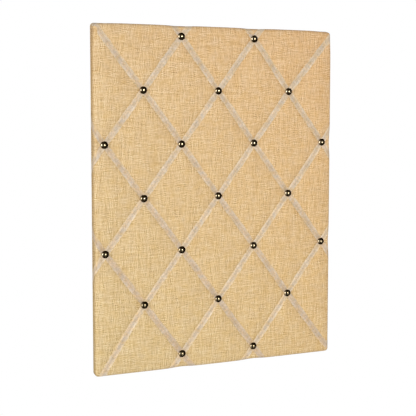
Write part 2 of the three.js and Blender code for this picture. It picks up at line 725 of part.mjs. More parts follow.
// Hanger strap: one strip folded double below its eye, lying on the backing sheet
const eyeRadius = RING_WIRE_RADIUS + FIT_GAP + STRAP_SHEET;
const strapBase = BACKING_REAR + FIT_GAP;
const strapThickness = 2 * STRAP_SHEET;
const barY = strapBase + eyeRadius;
const foldTurn = -Math.acos((strapThickness - eyeRadius) / eyeRadius);
const strapShape = new THREE.Shape();
strapShape.moveTo(0, -STRAP_LENGTH);
strapShape.lineTo(strapThickness, -STRAP_LENGTH);
strapShape.absarc(eyeRadius, 0, eyeRadius, foldTurn, Math.PI, false);
const eyeHole = new THREE.Path();
eyeHole.absarc(eyeRadius, 0, RING_WIRE_RADIUS + FIT_GAP, 0, 2 * Math.PI, true);
strapShape.holes.push(eyeHole);
const strap = new THREE.ExtrudeGeometry(strapShape, {
  depth: STRAP_WIDTH,
  bevelEnabled: false,
  curveSegments: 12,
});
const strapPlacing = new THREE.Matrix4().makeBasis(
  new THREE.Vector3(0, 1, 0),
  new THREE.Vector3(0, 0, 1),
  new THREE.Vector3(1, 0, 0),
);
strap.applyMatrix4(strapPlacing.setPosition(-STRAP_WIDTH / 2, strapBase, barZ));
addPiece("hanger_strap", cut(strap, [drill(0, screwZ, CORE_REAR, 0, screwHole, 12)]), "steel");

// Hanger ring: a D of round wire turning on its bar, resting upright against the backing sheet
const ringOutline = new THREE.Path();
const ringHalf = RING_WIDTH / 2;
ringOutline.moveTo(RING_CORNER - ringHalf, 0);
ringOutline.lineTo(ringHalf - RING_CORNER, 0);
ringOutline.quadraticCurveTo(ringHalf, 0, ringHalf, RING_CORNER);
ringOutline.absellipse(0, RING_CORNER, ringHalf, RING_HEIGHT - RING_CORNER, 0, Math.PI, false);
ringOutline.quadraticCurveTo(-ringHalf, 0, RING_CORNER - ringHalf, 0);
const ringSteps = 36;
const ringPoints = ringOutline.getSpacedPoints(ringSteps).slice(0, ringSteps);
const ringCurve = new THREE.CatmullRomCurve3(ringPoints.map(({ x, y }) => new THREE.Vector3(x, 0, y)), true);
const ring = new THREE.TubeGeometry(ringCurve, ringSteps, RING_WIRE_RADIUS, 8, true);
const ringPivot = new THREE.Group();
const ringRest = eyeRadius - RING_WIRE_RADIUS;
ringPivot.position.set(0, barY, barZ);
ringPivot.rotation.x = Math.asin(ringRest / RING_HEIGHT);
board.add(ringPivot);
addPiece("hanger_ring", toGeometry(toSolid(ring)), "steel", ringPivot);

// Hanger screw through strap and backing sheet into the core
const screwSeat = strapBase + strapThickness + FIT_GAP;
const screwTip = CORE_REAR - SCREW_BITE - screwSeat;
const screwDome = domeProfile(SCREW_HEAD_RADIUS, SCREW_HEAD_HEIGHT, 3).map(([r, y]) => [r, -y]);
const screwProfile = [
  [0, screwTip],
  [SCREW_RADIUS, screwTip + SCREW_POINT],
  [SCREW_RADIUS, 0],
  ...screwDome.reverse(),
];
const screw = addPiece("hanger_screw", turned(screwProfile), "steel");
screw.position.set(0, screwSeat, screwZ);
coreCutters.push(drill(0, screwZ, CORE_REAR - SCREW_BITE - FIT_GAP, 0, screwHole));

// Fibreboard core, with blind holes for tacks, staple legs and the screw
const coreShape = roundedRectangle(
  HALF_WIDTH - CORE_INSET,
  HALF_HEIGHT - CORE_INSET,
  Math.max(CORNER_RADIUS - CORE_INSET, FLAP_CORNER_RADIUS),
);
addPiece("core_board", cut(slab(coreShape, CORE_REAR, CORE_THICKNESS), coreCutters), "core");

// Felt bumpers that keep the back off the wall
const bumperProfile = [
  [0, -BUMPER_THICKNESS],
  [BUMPER_RADIUS, -BUMPER_THICKNESS],
  [BUMPER_RADIUS, -BUMPER_CHAMFER],
  [BUMPER_RADIUS - BUMPER_CHAMFER, 0],
  [0, 0],
];
for (const [name, side] of [["left", -1], ["right", 1]]) {
  const bumper = addPiece(`bumper_${name}`, turned(bumperProfile), "felt");
  bumper.position.set(side * (HALF_WIDTH - BUMPER_INSET), 0, BUMPER_INSET - HALF_HEIGHT);
}

export default board;
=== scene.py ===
import math

import bmesh
import bpy
import numpy as np
from mathutils import Matrix, Vector
from mathutils.bvhtree import BVHTree


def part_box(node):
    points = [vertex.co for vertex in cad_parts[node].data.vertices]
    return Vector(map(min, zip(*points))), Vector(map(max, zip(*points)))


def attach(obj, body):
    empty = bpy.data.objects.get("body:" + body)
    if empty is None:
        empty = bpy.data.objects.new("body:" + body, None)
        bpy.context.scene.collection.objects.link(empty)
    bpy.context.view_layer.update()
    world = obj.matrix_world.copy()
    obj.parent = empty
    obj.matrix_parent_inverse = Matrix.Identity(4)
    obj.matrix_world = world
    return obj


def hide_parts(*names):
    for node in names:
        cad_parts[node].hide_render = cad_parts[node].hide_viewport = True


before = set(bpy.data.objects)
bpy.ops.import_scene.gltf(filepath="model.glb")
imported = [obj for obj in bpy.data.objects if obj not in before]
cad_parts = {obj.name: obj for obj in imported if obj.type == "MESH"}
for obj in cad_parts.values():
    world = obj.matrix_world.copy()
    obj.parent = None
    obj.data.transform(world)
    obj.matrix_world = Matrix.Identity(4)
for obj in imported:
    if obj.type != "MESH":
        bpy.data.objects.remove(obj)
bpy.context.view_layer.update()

# Core: a sawn panel of raw fibreboard, square-edged, which carries the wadding and takes the
# points of the tacks, the staple legs and the hanger's screw. It is the CAD solid itself.


def srgb(red, green, blue):
    """A colour as a paint chart gives it, 0 to 255, as the shader reads it."""
    shares = [level / 255 for level in (red, green, blue)]
    return [s / 12.92 if s <= 0.04045 else ((s + 0.055) / 1.055) ** 2.4 for s in shares] + [1.0]


def new_finish(name):
    finish = bpy.data.materials.new(name)
    finish.use_nodes = True
    return finish, finish.node_tree.nodes["Principled BSDF"]


def feed(node, inputs):
    """Gives a node its inputs; each is a value, another node's output or None, which leaves it."""
    for key, value in inputs.items():
        if isinstance(value, bpy.types.NodeSocket):
            node.id_data.links.new(value, node.inputs[key])
        elif value is not None:
            node.inputs[key].default_value = value


def add_node(beside, kind, inputs=None, **settings):
    """Adds a node to the tree that another node or its output is in."""
    made = beside.id_data.nodes.new(kind)
    for key, value in settings.items():
        setattr(made, key, value)
    feed(made, inputs or {})
    return made


def paint(shader, colour, roughness, relief=None, others=None):
    """Gives a finish its colour, roughness and fine relief, and its other inputs by name."""
    feed(shader, {"Base Color": colour, "Roughness": roughness, "Normal": relief, **(others or {})})


def object_place(shader):
    return add_node(shader, "ShaderNodeTexCoord").outputs["Object"]


def speckle(place, size, detail=3.0, stretch=(1.0, 1.0, 1.0)):
    """Noise from 0 to 1 with grains of a size in metres, drawn out along the axes."""
    scale = [1 / (size * s) for s in stretch]
    mapped = add_node(place, "ShaderNodeMapping", {"Vector": place, "Scale": scale}).outputs[0]
    inputs = {"Vector": mapped, "Scale": 1.0, "Detail": detail}
    return add_node(place, "ShaderNodeTexNoise", inputs).outputs["Fac"]


def colour_steps(value, steps):
    """Colours along a value from 0 to 1, each with the value at which it stands."""
    ramp = add_node(value, "ShaderNodeValToRGB", {"Fac": value})
    elements = ramp.color_ramp.elements
    while len(elements) < len(steps):
        elements.new(0.5)
    for element, (position, colour) in zip(elements, steps):
        element.position = position
        element.color = srgb(*colour)
    return ramp.outputs["Color"]


def bump(height, strength, distance, under=None, invert=False):
    """Fine relief of a depth in metres, laid over another bump if one is under it."""
    inputs = {"Height": height, "Strength": strength, "Distance": distance, "Normal": under}
    return add_node(height, "ShaderNodeBump", inputs, invert=invert).outputs["Normal"]


def dress(piece, finish):
    piece.data.materials.clear()
    piece.data.materials.append(finish)


fibreboard, shader = new_finish("raw_fibreboard")
chips = speckle(object_place(shader), 0.0012, 6.0)
board_steps = [(0.3, (138, 106, 70)), (0.55, (166, 132, 92)), (0.75, (190, 158, 116))]
paint(shader, colour_steps(chips, board_steps), 0.85, bump(chips, 0.3, 0.0003))
dress(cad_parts["core_board"], fibreboard)

# Wadding: a sheet of white polyester wadding laid on the core and turned down round its edges.
# The tacks and the ribbons pull it into soft diamonds, highest in the middle of each.
cover_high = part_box("fabric_cover")[1]
HALF_WIDTH = cover_high.x
HALF_HEIGHT = cover_high.z
EDGE_ROLL = 0.0065
CORNER_RADIUS = 0.006
TIGHTEST_CORNER = 0.0005
CORNER_POINTS = 3  # grid points each side of a corner that share its arc
EDGE_LEVEL = -0.0242  # fabric's outside where the edge roll starts
BANK = 0.0011  # bank of the fabric beside a ribbon
BANK_RUN = 0.0045
CROWN = 0.0006  # gentler rise from there to the middle of a diamond
CROWN_RUN = 0.018
RIM_RUN = 0.007  # both rises start from nothing at the rim, over this run
TUFT = 0.0022  # fabric under a tack below the ribbon lines
TUFT_FLOOR = 0.006
TUFT_RUN = 0.0068
LUMP = 0.00012  # unevenness of the wadding
RIBBON_WIDTH = 0.011
CORNER_EXITS = {(-1, 1): 0.0, (1, 1): 0.007, (-1, -1): 0.0095, (1, -1): 0.0035}  # ribbon from corner
CORNER_PULLS = {(-1, 1): 0.0016, (1, 1): 0.0016, (-1, -1): 0.0, (1, -1): 0.0}  # corner drawn in by it
CORNER_PULL_RUN = 0.03
OUTER_TACK = 0.03  # a tack nearer to an edge than this draws the edge in
EDGE_DRAW = 0.0015
EDGE_DRAW_RUN = 0.02
RIM_DRAW = 0.6  # share of that draw where the front meets the edge roll
RIM_DRAW_RUN = 0.01
CLOTH_THICKNESS = 0.001
FIT_GAP = 0.0003
PAD_GRID = 0.0068


def middle_of(node):
    """The middle of a CAD node, across the board and up it."""
    low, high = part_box(node)
    return (low.x + high.x) / 2, (low.z + high.z) / 2


tack_nodes = sorted(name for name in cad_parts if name.startswith("tack_"))
tack_places = {name: middle_of(name) for name in tack_nodes}
columns = sorted({round(x, 5) for x, _ in tack_places.values()})
rows = sorted({round(z, 5) for _, z in tack_places.values()})
steps_out = len(columns) // 2


def lattice_step(place):
    """A tack's column and row, counted from the middle of the lattice."""
    column = min(range(len(columns)), key=lambda k: abs(columns[k] - place[0]))
    row = min(range(len(rows)), key=lambda k: abs(rows[k] - place[1]))
    return column - steps_out, row - steps_out


board_edges = []
for x, z in ((0.0, -1.0), (1.0, 0.0), (0.0, 1.0), (-1.0, 0.0)):
    out, along = np.array((x, z)), np.array((-z, x))
    reach, half = (HALF_WIDTH, HALF_HEIGHT) if x else (HALF_HEIGHT, HALF_WIDTH)
    near = [float(along @ place) for place in tack_places.values() if reach - out @ place < OUTER_TACK]
    board_edges.append({"out": out, "along": along, "reach": reach, "half": half, "tacks": near})


def corner_of(edge, hand):
    x, z = edge["out"] + edge["along"] * hand
    return (1 if x > 0 else -1, 1 if z > 0 else -1)


def bell(distance, run):
    """Falls from 1 at no distance to nearly 0 at two runs."""
    return np.exp(-((distance / run) ** 2))


def edge_draw(edge, along):
    """How far the soft edge is drawn in, at tacks and at the corners that a ribbon pulls."""
    tacks = sum(bell(along - tack, EDGE_DRAW_RUN) for tack in edge["tacks"])
    before, after = (CORNER_PULLS[corner_of(edge, hand)] for hand in (-1, 1))
    pull = np.where(np.asarray(along) > 0, after, before)
    return EDGE_DRAW * tacks + pull * bell(edge["half"] - np.abs(along), CORNER_PULL_RUN)


def edge_spot(edge, inset, along, draw_share, turn=None):
    """A point at an inset from the board's edge, round the corners' arcs, and the way out there."""
    radius = max(CORNER_RADIUS - inset, TIGHTEST_CORNER)
    straight = edge["half"] - inset - radius
    hand = 1 if along > 0 else -1
    over = abs(along) - edge["half"] + CORNER_RADIUS
    if turn is None and over > 0:
        turn = min(over / CORNER_RADIUS, math.pi / 2)
    if turn is None:
        reach = edge["reach"] - inset - draw_share * float(edge_draw(edge, along))
        stretch = straight / (edge["half"] - CORNER_RADIUS)
        return edge["out"] * reach + edge["along"] * along * stretch, edge["out"]
    spread = edge["out"] * math.cos(turn) + edge["along"] * hand * math.sin(turn)
    pull = draw_share * CORNER_PULLS[corner_of(edge, hand)]
    centre = edge["out"] * (edge["reach"] - inset - radius - pull)
    centre = centre + edge["along"] * hand * (straight - pull)
    return centre + spread * radius, spread


def ribbon_exit(tack, before):
    """Where a ribbon leaves the front past its last tack: straight on, or beside a corner."""
    start = np.array(tack)
    heading = start - np.array(before)
    heading = heading / np.linalg.norm(heading)
    column, row = lattice_step(tack)
    outermost = abs(column) == steps_out or abs(row) == steps_out
    sideways = abs(column) == steps_out if outermost else heading[0] > 0
    axis = 0 if sideways else 1
    edge = next(e for e in board_edges if e["out"][axis] * heading[axis] > 0)
    corner_side = 0.0 if outermost else float(np.sign(edge["along"] @ heading))
    if corner_side:
        beside = edge["half"] - CORNER_EXITS[corner_of(edge, corner_side)]
        corner = edge["out"] * edge["reach"] + edge["along"] * corner_side * beside
        heading = (corner - start) / np.linalg.norm(corner - start)
    outward = float(heading @ edge["out"])
    drift = float(heading @ edge["along"]) / outward
    to_rim = edge["reach"] - EDGE_ROLL - float(start @ edge["out"])
    rim = start + heading * to_rim / outward
    return {
        "edge": edge,
        "rim": rim,
        "along": float(rim @ edge["along"]),
        "half": RIBBON_WIDTH / 2 / outward,
        "drift": drift if outermost else 0.0,
        "tail_drift": -corner_side,
    }


ribbon_runs = {}
for family, line in (("falling", lambda i, j: i + j), ("rising", lambda i, j: i - j)):
    on_line = {}
    for place in tack_places.values():
        on_line.setdefault(line(*lattice_step(place)), []).append(place)
    for count, value in enumerate(sorted(on_line), 1):
        tacks = sorted(on_line[value])
        ribbon_runs[f"ribbon_{family}_{count}"] = {
            "tacks": [np.array(t) for t in tacks],
            "first": ribbon_exit(tacks[0], tacks[1]),
            "last": ribbon_exit(tacks[-1], tacks[-2]),
        }


def run_points(run):
    return [run["first"]["rim"], *run["tacks"], run["last"]["rim"]]


def ribbon_distance(x, z):
    """From points of the front to the middle of the nearest ribbon."""
    nearest = np.full(x.shape, 1.0)
    for run in ribbon_runs.values():
        points = run_points(run)
        for a, b in zip(points, points[1:]):
            step = b - a
            share = np.clip(((x - a[0]) * step[0] + (z - a[1]) * step[1]) / (step @ step), 0, 1)
            away = np.hypot(x - a[0] - share * step[0], z - a[1] - share * step[1])
            nearest = np.minimum(nearest, away)
    return nearest


def tack_distance(x, z):
    """From points of the front to the nearest tack."""
    return np.min([np.hypot(x - tack[0], z - tack[1]) for tack in tack_places.values()], axis=0)


def quilt_height(x, z):
    """How far the padded front stands above the rim of the board, from tacks and ribbon lines."""
    to_rim = np.minimum(HALF_WIDTH - np.abs(x), HALF_HEIGHT - np.abs(z)) - EDGE_ROLL
    bank = np.maximum(ribbon_distance(x, z) - RIBBON_WIDTH / 2, 0)
    soft = 1 - np.exp(-np.maximum(to_rim, 0) / RIM_RUN)
    crown = (BANK * (1 - np.exp(-bank / BANK_RUN)) + CROWN * (1 - np.exp(-bank / CROWN_RUN))) * soft
    tuft = TUFT * bell(np.maximum(tack_distance(x, z) - TUFT_FLOOR, 0), TUFT_RUN)
    lumps = np.sin(x * 71 + 1.3) * np.sin(z * 53 + 0.4) + np.sin(x * 29 - z * 37 + 2.0)
    return crown - tuft + LUMP * lumps * soft


def ruled(marks, step):
    """Grid lines that pass through the given marks, about a step apart."""
    lines = []
    for a, b in zip(marks, marks[1:]):
        lines.extend(np.linspace(a, b, max(1, round((b - a) / step)), endpoint=False))
    return np.array([*lines, marks[-1]])


scene = bpy.context.scene


def piece_from(shape, name):
    """Makes a mesh that is built up in code into a piece of the scene."""
    mesh = bpy.data.meshes.new(name)
    shape.to_mesh(mesh)
    shape.free()
    piece = bpy.data.objects.new(name, mesh)
    scene.collection.objects.link(piece)
    return piece


def quilted_skin(name, step, sink, rings):
    """The quilted front as a grid, then rings of points round the edges towards the back.
    A ring is its inset from the board's edge, its level, its share of the edge's draw and the
    cloth's length from the rim to it."""
    rim_x, rim_z = HALF_WIDTH - EDGE_ROLL, HALF_HEIGHT - EDGE_ROLL
    across = ruled([-rim_x, *columns, rim_x], step)
    upward = ruled([-rim_z, *rows, rim_z], step)
    wide, tall = len(across), len(upward)
    grid_x, grid_z = np.meshgrid(across, upward)
    level = EDGE_LEVEL + sink - quilt_height(grid_x, grid_z)
    cut = np.stack((grid_x, grid_z), -1).reshape(-1, 2).tolist()
    drawn_x, drawn_z = grid_x.copy(), grid_z.copy()
    for edge in board_edges:
        inside = edge["reach"] - EDGE_ROLL - grid_x * edge["out"][0] - grid_z * edge["out"][1]
        draw = edge_draw(edge, grid_x * edge["along"][0] + grid_z * edge["along"][1])
        shift = RIM_DRAW * draw * bell(inside, RIM_DRAW_RUN)
        drawn_x -= shift * edge["out"][0]
        drawn_z -= shift * edge["out"][1]
    points = np.stack((drawn_x, level, drawn_z), -1).reshape(-1, 3).tolist()
    faces = []
    for r in range(tall - 1):
        for c in range(wide - 1):
            k = r * wide + c
            faces.append((k, k + 1, k + 1 + wide, k + wide))
    sides = [
        list(range(wide - 1)),
        [r * wide + wide - 1 for r in range(tall - 1)],
        [(tall - 1) * wide + c for c in range(wide - 1, 0, -1)],
        [r * wide for r in range(tall - 1, 0, -1)],
    ]
    previous = [k for side in sides for k in side]
    for inset, ring_level, draw_share, length in rings:
        ring = []
        for edge, side in zip(board_edges, sides):
            for m, k in enumerate(side):
                flat = np.array(cut[k])
                along = float(flat @ edge["along"])
                past = max(CORNER_POINTS - m, m - (len(side) - CORNER_POINTS))
                turn = (past - 1) / (CORNER_POINTS - 1) * math.pi / 4 if past > 0 else None
                spot, spread = edge_spot(edge, inset, along, draw_share, turn)
                ring.append(len(points))
                points.append((spot[0], ring_level, spot[1]))
                cut.append((flat + spread * length).tolist())
        for m, k in enumerate(previous):
            after = (m + 1) % len(previous)
            faces.append((k, ring[m], ring[after], previous[after]))
        previous = ring
    skin = bmesh.new()
    corners = [skin.verts.new(p) for p in points]
    flat_cut = skin.loops.layers.uv.new("cut")
    for face in faces:
        made = skin.faces.new([corners[k] for k in face])
        made.smooth = True
        for loop, k in zip(made.loops, face):
            loop[flat_cut].uv = cut[k]
    return piece_from(skin, name), wide * tall


def only(piece):
    """Makes a piece the one selected and active object."""
    bpy.ops.object.select_all(action="DESELECT")
    piece.select_set(True)
    bpy.context.view_layer.objects.active = piece


def close_mesh(merge=0.0):
    """Merges doubles where asked, turns all faces outwards and leaves edit mode."""
    bpy.ops.mesh.select_all(action="SELECT")
    if merge:
        bpy.ops.mesh.remove_doubles(threshold=merge)
    bpy.ops.mesh.normals_make_consistent(inside=False)
    bpy.ops.object.mode_set(mode="OBJECT")


def edge_roll(radius, reach, level, steps):
    """Rings round a quarter turn from the front to the side."""
    turns = [math.pi / 2 * k / steps for k in range(1, steps + 1)]
    return [
        (reach + radius * (1 - math.sin(t)), level + radius * (1 - math.cos(t)), 1.0, radius * t)
        for t in turns
    ]


pad_under = CLOTH_THICKNESS + FIT_GAP
LIP_MIDDLE = -0.014
LIP_BACK = -0.0093
LIP_INSIDE = 0.0033
PAD_BED = -0.0176
pad_rings = edge_roll(EDGE_ROLL - pad_under, pad_under, EDGE_LEVEL + pad_under, 3) + [
    (pad_under, LIP_MIDDLE, 0.3, 0.012),
    (pad_under, LIP_BACK, 0.0, 0.016),
    (LIP_INSIDE, LIP_BACK, 0.0, 0.018),
    (LIP_INSIDE, PAD_BED, 0.0, 0.026),
]
wadding, _ = quilted_skin("wadding", PAD_GRID, pad_under, pad_rings)
only(wadding)
bpy.ops.object.mode_set(mode="EDIT")
bpy.ops.mesh.select_all(action="DESELECT")
bpy.ops.mesh.select_non_manifold(extend=False)
bpy.ops.mesh.edge_face_add()
close_mesh()


def reckon(operation, first, second=0.0, third=0.0):
    inputs = {0: first, 1: second, 2: third}
    return add_node(first, "ShaderNodeMath", inputs, operation=operation).outputs[0]


def weigh(start, *parts):
    """A start value and, added to it, each part times its weight."""
    for part, weight in parts:
        start = reckon("MULTIPLY_ADD", part, weight, start)
    return start


white_wadding, shader = new_finish("white_wadding")
place = object_place(shader)
fluff = speckle(place, 0.004, 8.0)
loft = weigh(0.0, (fluff, 0.5), (speckle(place, 0.03, 2.0), 0.5))
loft_steps = [(0.3, (222, 219, 210)), (0.7, (250, 249, 245))]
paint(shader, colour_steps(loft, loft_steps), 0.95, bump(fluff, 0.6, 0.001), {"Sheen Weight": 0.3})
dress(wadding, white_wadding)
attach(wadding, "board")
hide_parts("wadding_pad")

# Cover: one cut of golden tan, slubbed linen-look cloth, stretched over the wadding, turned over
# the edges and stapled down on the back. The tacks and the ribbons hold it down, and between
# them it swells a little.
FLAP_LEVEL = cover_high.y
BACK_ROLL = 0.0012
FLAP_WIDTH = 0.025
FLAP_INSETS = (0.005, 0.010, 0.017, FLAP_WIDTH)
SIDE_DRAWS = ((0.4, 0.5), (0.75, 0.15), (1.0, 0.0))  # share of the wall down, and of the edge's draw
CLOTH_GRID = 0.0035
SWELL_PRESSURE = 3.0
SWELL_FRAMES = 14
SWELL_CAP = 0.0012

roll_length = EDGE_ROLL * math.pi / 2
side_length = FLAP_LEVEL - BACK_ROLL - EDGE_LEVEL - EDGE_ROLL
back_turn = BACK_ROLL * math.pi / 2
to_flap = roll_length + side_length + back_turn
side_rings = []
for share, draw in SIDE_DRAWS:
    down = side_length * share
    side_rings.append((0.0, EDGE_LEVEL + EDGE_ROLL + down, draw, roll_length + down))
cover_rings = edge_roll(EDGE_ROLL, 0.0, EDGE_LEVEL, 4) + side_rings
cover_rings.append((BACK_ROLL * 0.3, FLAP_LEVEL - BACK_ROLL * 0.3, 0.0, to_flap - back_turn / 2))
cover_rings.append((BACK_ROLL, FLAP_LEVEL, 0.0, to_flap))
for inset in FLAP_INSETS:
    cover_rings.append((inset, FLAP_LEVEL, 0.0, to_flap + inset - BACK_ROLL))
cover, front_count = quilted_skin("linen_cover", CLOTH_GRID, 0.0, cover_rings)


def held_points(piece, count):
    """Cover points under the tacks and ribbons and all those past the rim."""
    place = np.array([v.co for v in piece.data.vertices])
    x, z = place[:, 0], place[:, 2]
    held = np.arange(len(place)) >= count
    held |= tack_distance(x, z) < TUFT_FLOOR + 0.002
    held |= ribbon_distance(x, z) < RIBBON_WIDTH * 0.4
    held |= np.abs(x) > HALF_WIDTH - EDGE_ROLL - 1e-4
    held |= np.abs(z) > HALF_HEIGHT - EDGE_ROLL - 1e-4
    return np.flatnonzero(held)


def swell(piece, held):
    """Blows the cloth up a little between the points that are held, and keeps each move under a cap."""
    at_rest = np.array([v.co for v in piece.data.vertices])
    group = piece.vertex_groups.new(name="held")
    group.add(held.tolist(), 1.0, "REPLACE")
    cloth = piece.modifiers.new("swell", "CLOTH")
    settings = cloth.settings
    settings.quality = 5
    settings.mass = 0.25
    settings.tension_stiffness = 12
    settings.compression_stiffness = 12
    settings.shear_stiffness = 4
    settings.bending_stiffness = 0.6
    settings.vertex_group_mass = "held"
    settings.use_pressure = True
    settings.uniform_pressure_force = SWELL_PRESSURE
    settings.effector_weights.gravity = 0
    cloth.collision_settings.use_collision = False
    cloth.point_cache.frame_start = 1
    cloth.point_cache.frame_end = SWELL_FRAMES
    for moment in range(1, SWELL_FRAMES + 1):
        scene.frame_set(moment)
    only(piece)
    bpy.ops.object.modifier_apply(modifier="swell")
    scene.frame_set(1)
    piece.vertex_groups.clear()
    moved = np.array([v.co for v in piece.data.vertices]) - at_rest
    far = np.linalg.norm(moved, axis=1, keepdims=True)
    kept = at_rest + moved * np.minimum(1, SWELL_CAP / np.maximum(far, 1e-9))
    piece.data.vertices.foreach_set("co", kept.ravel())
    piece.data.update()


def thicken(piece, thickness, offset):
    """Gives a sheet its thickness, to the one side, the other or both."""
    only(piece)
    body = piece.modifiers.new("body", "SOLIDIFY")
    body.thickness = thickness
    body.offset = offset
    bpy.ops.object.modifier_apply(modifier="body")


swell(cover, held_points(cover, front_count))
thicken(cover, CLOTH_THICKNESS, -1)

THREAD_PITCH = 0.0018
THREAD_SWERVE = 0.0024
WARP_SLUB, WEFT_SLUB = 0.015, 0.012  # how far a thread keeps its tone
FIBRE = 0.00035
STREAK = 0.0034
GROOVE_RUN = 0.0028  # the cloth dips beside a ribbon, and is painted darker there as shade
GROOVE_DEPTH = 0.0009
golden_linen, shader = new_finish("golden_linen")
cut_place = add_node(shader, "ShaderNodeUVMap", uv_map="cut").outputs["UV"]
cut_axes = add_node(shader, "ShaderNodeSeparateXYZ", {0: cut_place}).outputs
cut_x, cut_z = cut_axes["X"], cut_axes["Y"]
swerve = weigh(-THREAD_SWERVE / 2, (speckle(cut_place, 0.03, 2.0), THREAD_SWERVE))
warp_count = reckon("DIVIDE", reckon("ADD", cut_x, swerve), THREAD_PITCH)
weft_count = reckon("DIVIDE", reckon("SUBTRACT", cut_z, swerve), THREAD_PITCH)


def remap(value, given=(0.0, 1.0), wanted=(0.0, 1.0), way="LINEAR"):
    """A value taken from one range to another and held inside it."""
    inputs = {"Value": value, "From Min": given[0], "From Max": given[1]}
    inputs.update({"To Min": wanted[0], "To Max": wanted[1]})
    return add_node(value, "ShaderNodeMapRange", inputs, interpolation_type=way).outputs[0]


def wave(value, pitch):
    """A sine along a value."""
    return reckon("SINE", reckon("MULTIPLY", value, 2 * math.pi / pitch))


def thread_tone(count, along, length, start):
    """The tone of each thread, set off against the next one and slowly changing along it."""
    way = reckon("DIVIDE", along, length)
    tones = []
    for beside in (0, 1):
        number = reckon("FLOOR", reckon("ADD", count, beside))
        lane = reckon("MULTIPLY", number, 5.37)
        spot = add_node(way, "ShaderNodeCombineXYZ", {0: lane, 1: way, 2: start}).outputs[0]
        noise = add_node(spot, "ShaderNodeTexNoise", {"Vector": spot, "Scale": 1.0, "Detail": 1.0})
        tones.append(noise.outputs["Fac"])
    return weigh(0.35, (tones[0], 1.0), (tones[1], -0.7))


def thread_marks(size, detail, length):
    """Noise drawn out along the warp, and along the weft."""
    ways = ((1.0, length, 1.0), (length, 1.0, 1.0))
    return [speckle(cut_place, size, detail, way) for way in ways]


def on_top(warp, weft):
    """The warp's value where it passes over, and the weft's where that does."""
    return add_node(warp, "ShaderNodeMix", {0: warp_over, 2: weft, 3: warp}, data_type="FLOAT").outputs[0]


crossing = reckon("MULTIPLY", wave(warp_count, 2.0), wave(weft_count, 2.0))
warp_over = remap(crossing, (-0.15, 0.1))
warp_tone = thread_tone(warp_count, cut_z, WARP_SLUB, 0.0)
weft_tone = thread_tone(weft_count, cut_x, WEFT_SLUB, 9.0)
slub = on_top(warp_tone, weft_tone)
fibres = on_top(*thread_marks(FIBRE, 2.0, 7.0))
# The yarns' rounding: painted shade darkens the colour between the threads, and the same value raises the
# threads in the relief.
yarn_round_and_shade = reckon("POWER", reckon("ABSOLUTE", crossing), 0.55)
streaks = reckon("ADD", *thread_marks(STREAK, 1.0, 14.0))
pitch_x, pitch_z = columns[1] - columns[0], rows[1] - rows[0]
line_gap = pitch_x * pitch_z / math.hypot(pitch_x, pitch_z)
step_x = reckon("DIVIDE", cut_x, pitch_x)
step_z = reckon("DIVIDE", reckon("SUBTRACT", cut_z, rows[steps_out]), pitch_z)
to_lines = []
for operation in ("ADD", "SUBTRACT"):
    line = reckon("ABSOLUTE", reckon(operation, step_x, step_z))
    to_lines.append(reckon("PINGPONG", reckon("MINIMUM", line, 5.0), 1.0))
to_ribbon = reckon("MULTIPLY", reckon("MINIMUM", *to_lines), line_gap)
off_ribbon = reckon("MAXIMUM", reckon("SUBTRACT", to_ribbon, RIBBON_WIDTH * 0.47), 0.0)
groove_and_shade = reckon("EXPONENT", reckon("MULTIPLY", off_ribbon, -1 / GROOVE_RUN))
# Painted shade: the cloth's colour darkens over the edge roll, where it turns away from the front.
past_side = reckon("SUBTRACT", reckon("ABSOLUTE", cut_x), HALF_WIDTH - EDGE_ROLL)
past_end = reckon("SUBTRACT", reckon("ABSOLUTE", cut_z), HALF_HEIGHT - EDGE_ROLL)
past_rim = reckon("MAXIMUM", past_side, past_end)
painted_edge_shade = remap(past_rim, (0.003, roll_length + 0.002), way="SMOOTHSTEP")
tone = weigh(-0.54, (slub, 0.9), (streaks, 0.28), (fibres, 0.32), (yarn_round_and_shade, 0.26))
# Painted shade: the cloth's colour darkens beside the ribbons and over the edge roll.
tone = weigh(tone, (groove_and_shade, -0.04), (painted_edge_shade, -0.18))
linen_steps = [(0.1, (172, 131, 80)), (0.36, (208, 171, 118)), (0.5, (222, 188, 138))]
linen_steps += [(0.66, (235, 206, 158)), (0.9, (246, 225, 184))]
# Random dye changes, and painted warm light: the cloth grows more saturated and redder towards the upper
# right.
dye_and_painted_warmth = weigh(0.86, (speckle(cut_place, 0.014, 2.0), 0.26), (cut_x, 0.15), (cut_z, 0.05))
painted_warm_hue = weigh(0.5, (cut_x, -0.02), (cut_z, -0.02))
dyed = {"Hue": painted_warm_hue, "Saturation": dye_and_painted_warmth, "Color": colour_steps(tone, linen_steps)}
linen_colour = add_node(shader, "ShaderNodeHueSaturation", dyed).outputs[0]
sunk = bump(groove_and_shade, 1.0, GROOVE_DEPTH, invert=True)
relief = weigh(slub, (yarn_round_and_shade, 1.0), (fibres, 0.5))
soft_gloss = {"Specular IOR Level": 0.2, "Sheen Weight": 0.06, "Sheen Roughness": 0.5}
paint(shader, linen_colour, 0.85, bump(relief, 0.4, 0.0003, under=sunk), soft_gloss)
dress(cover, golden_linen)
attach(cover, "board")
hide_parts("fabric_cover")

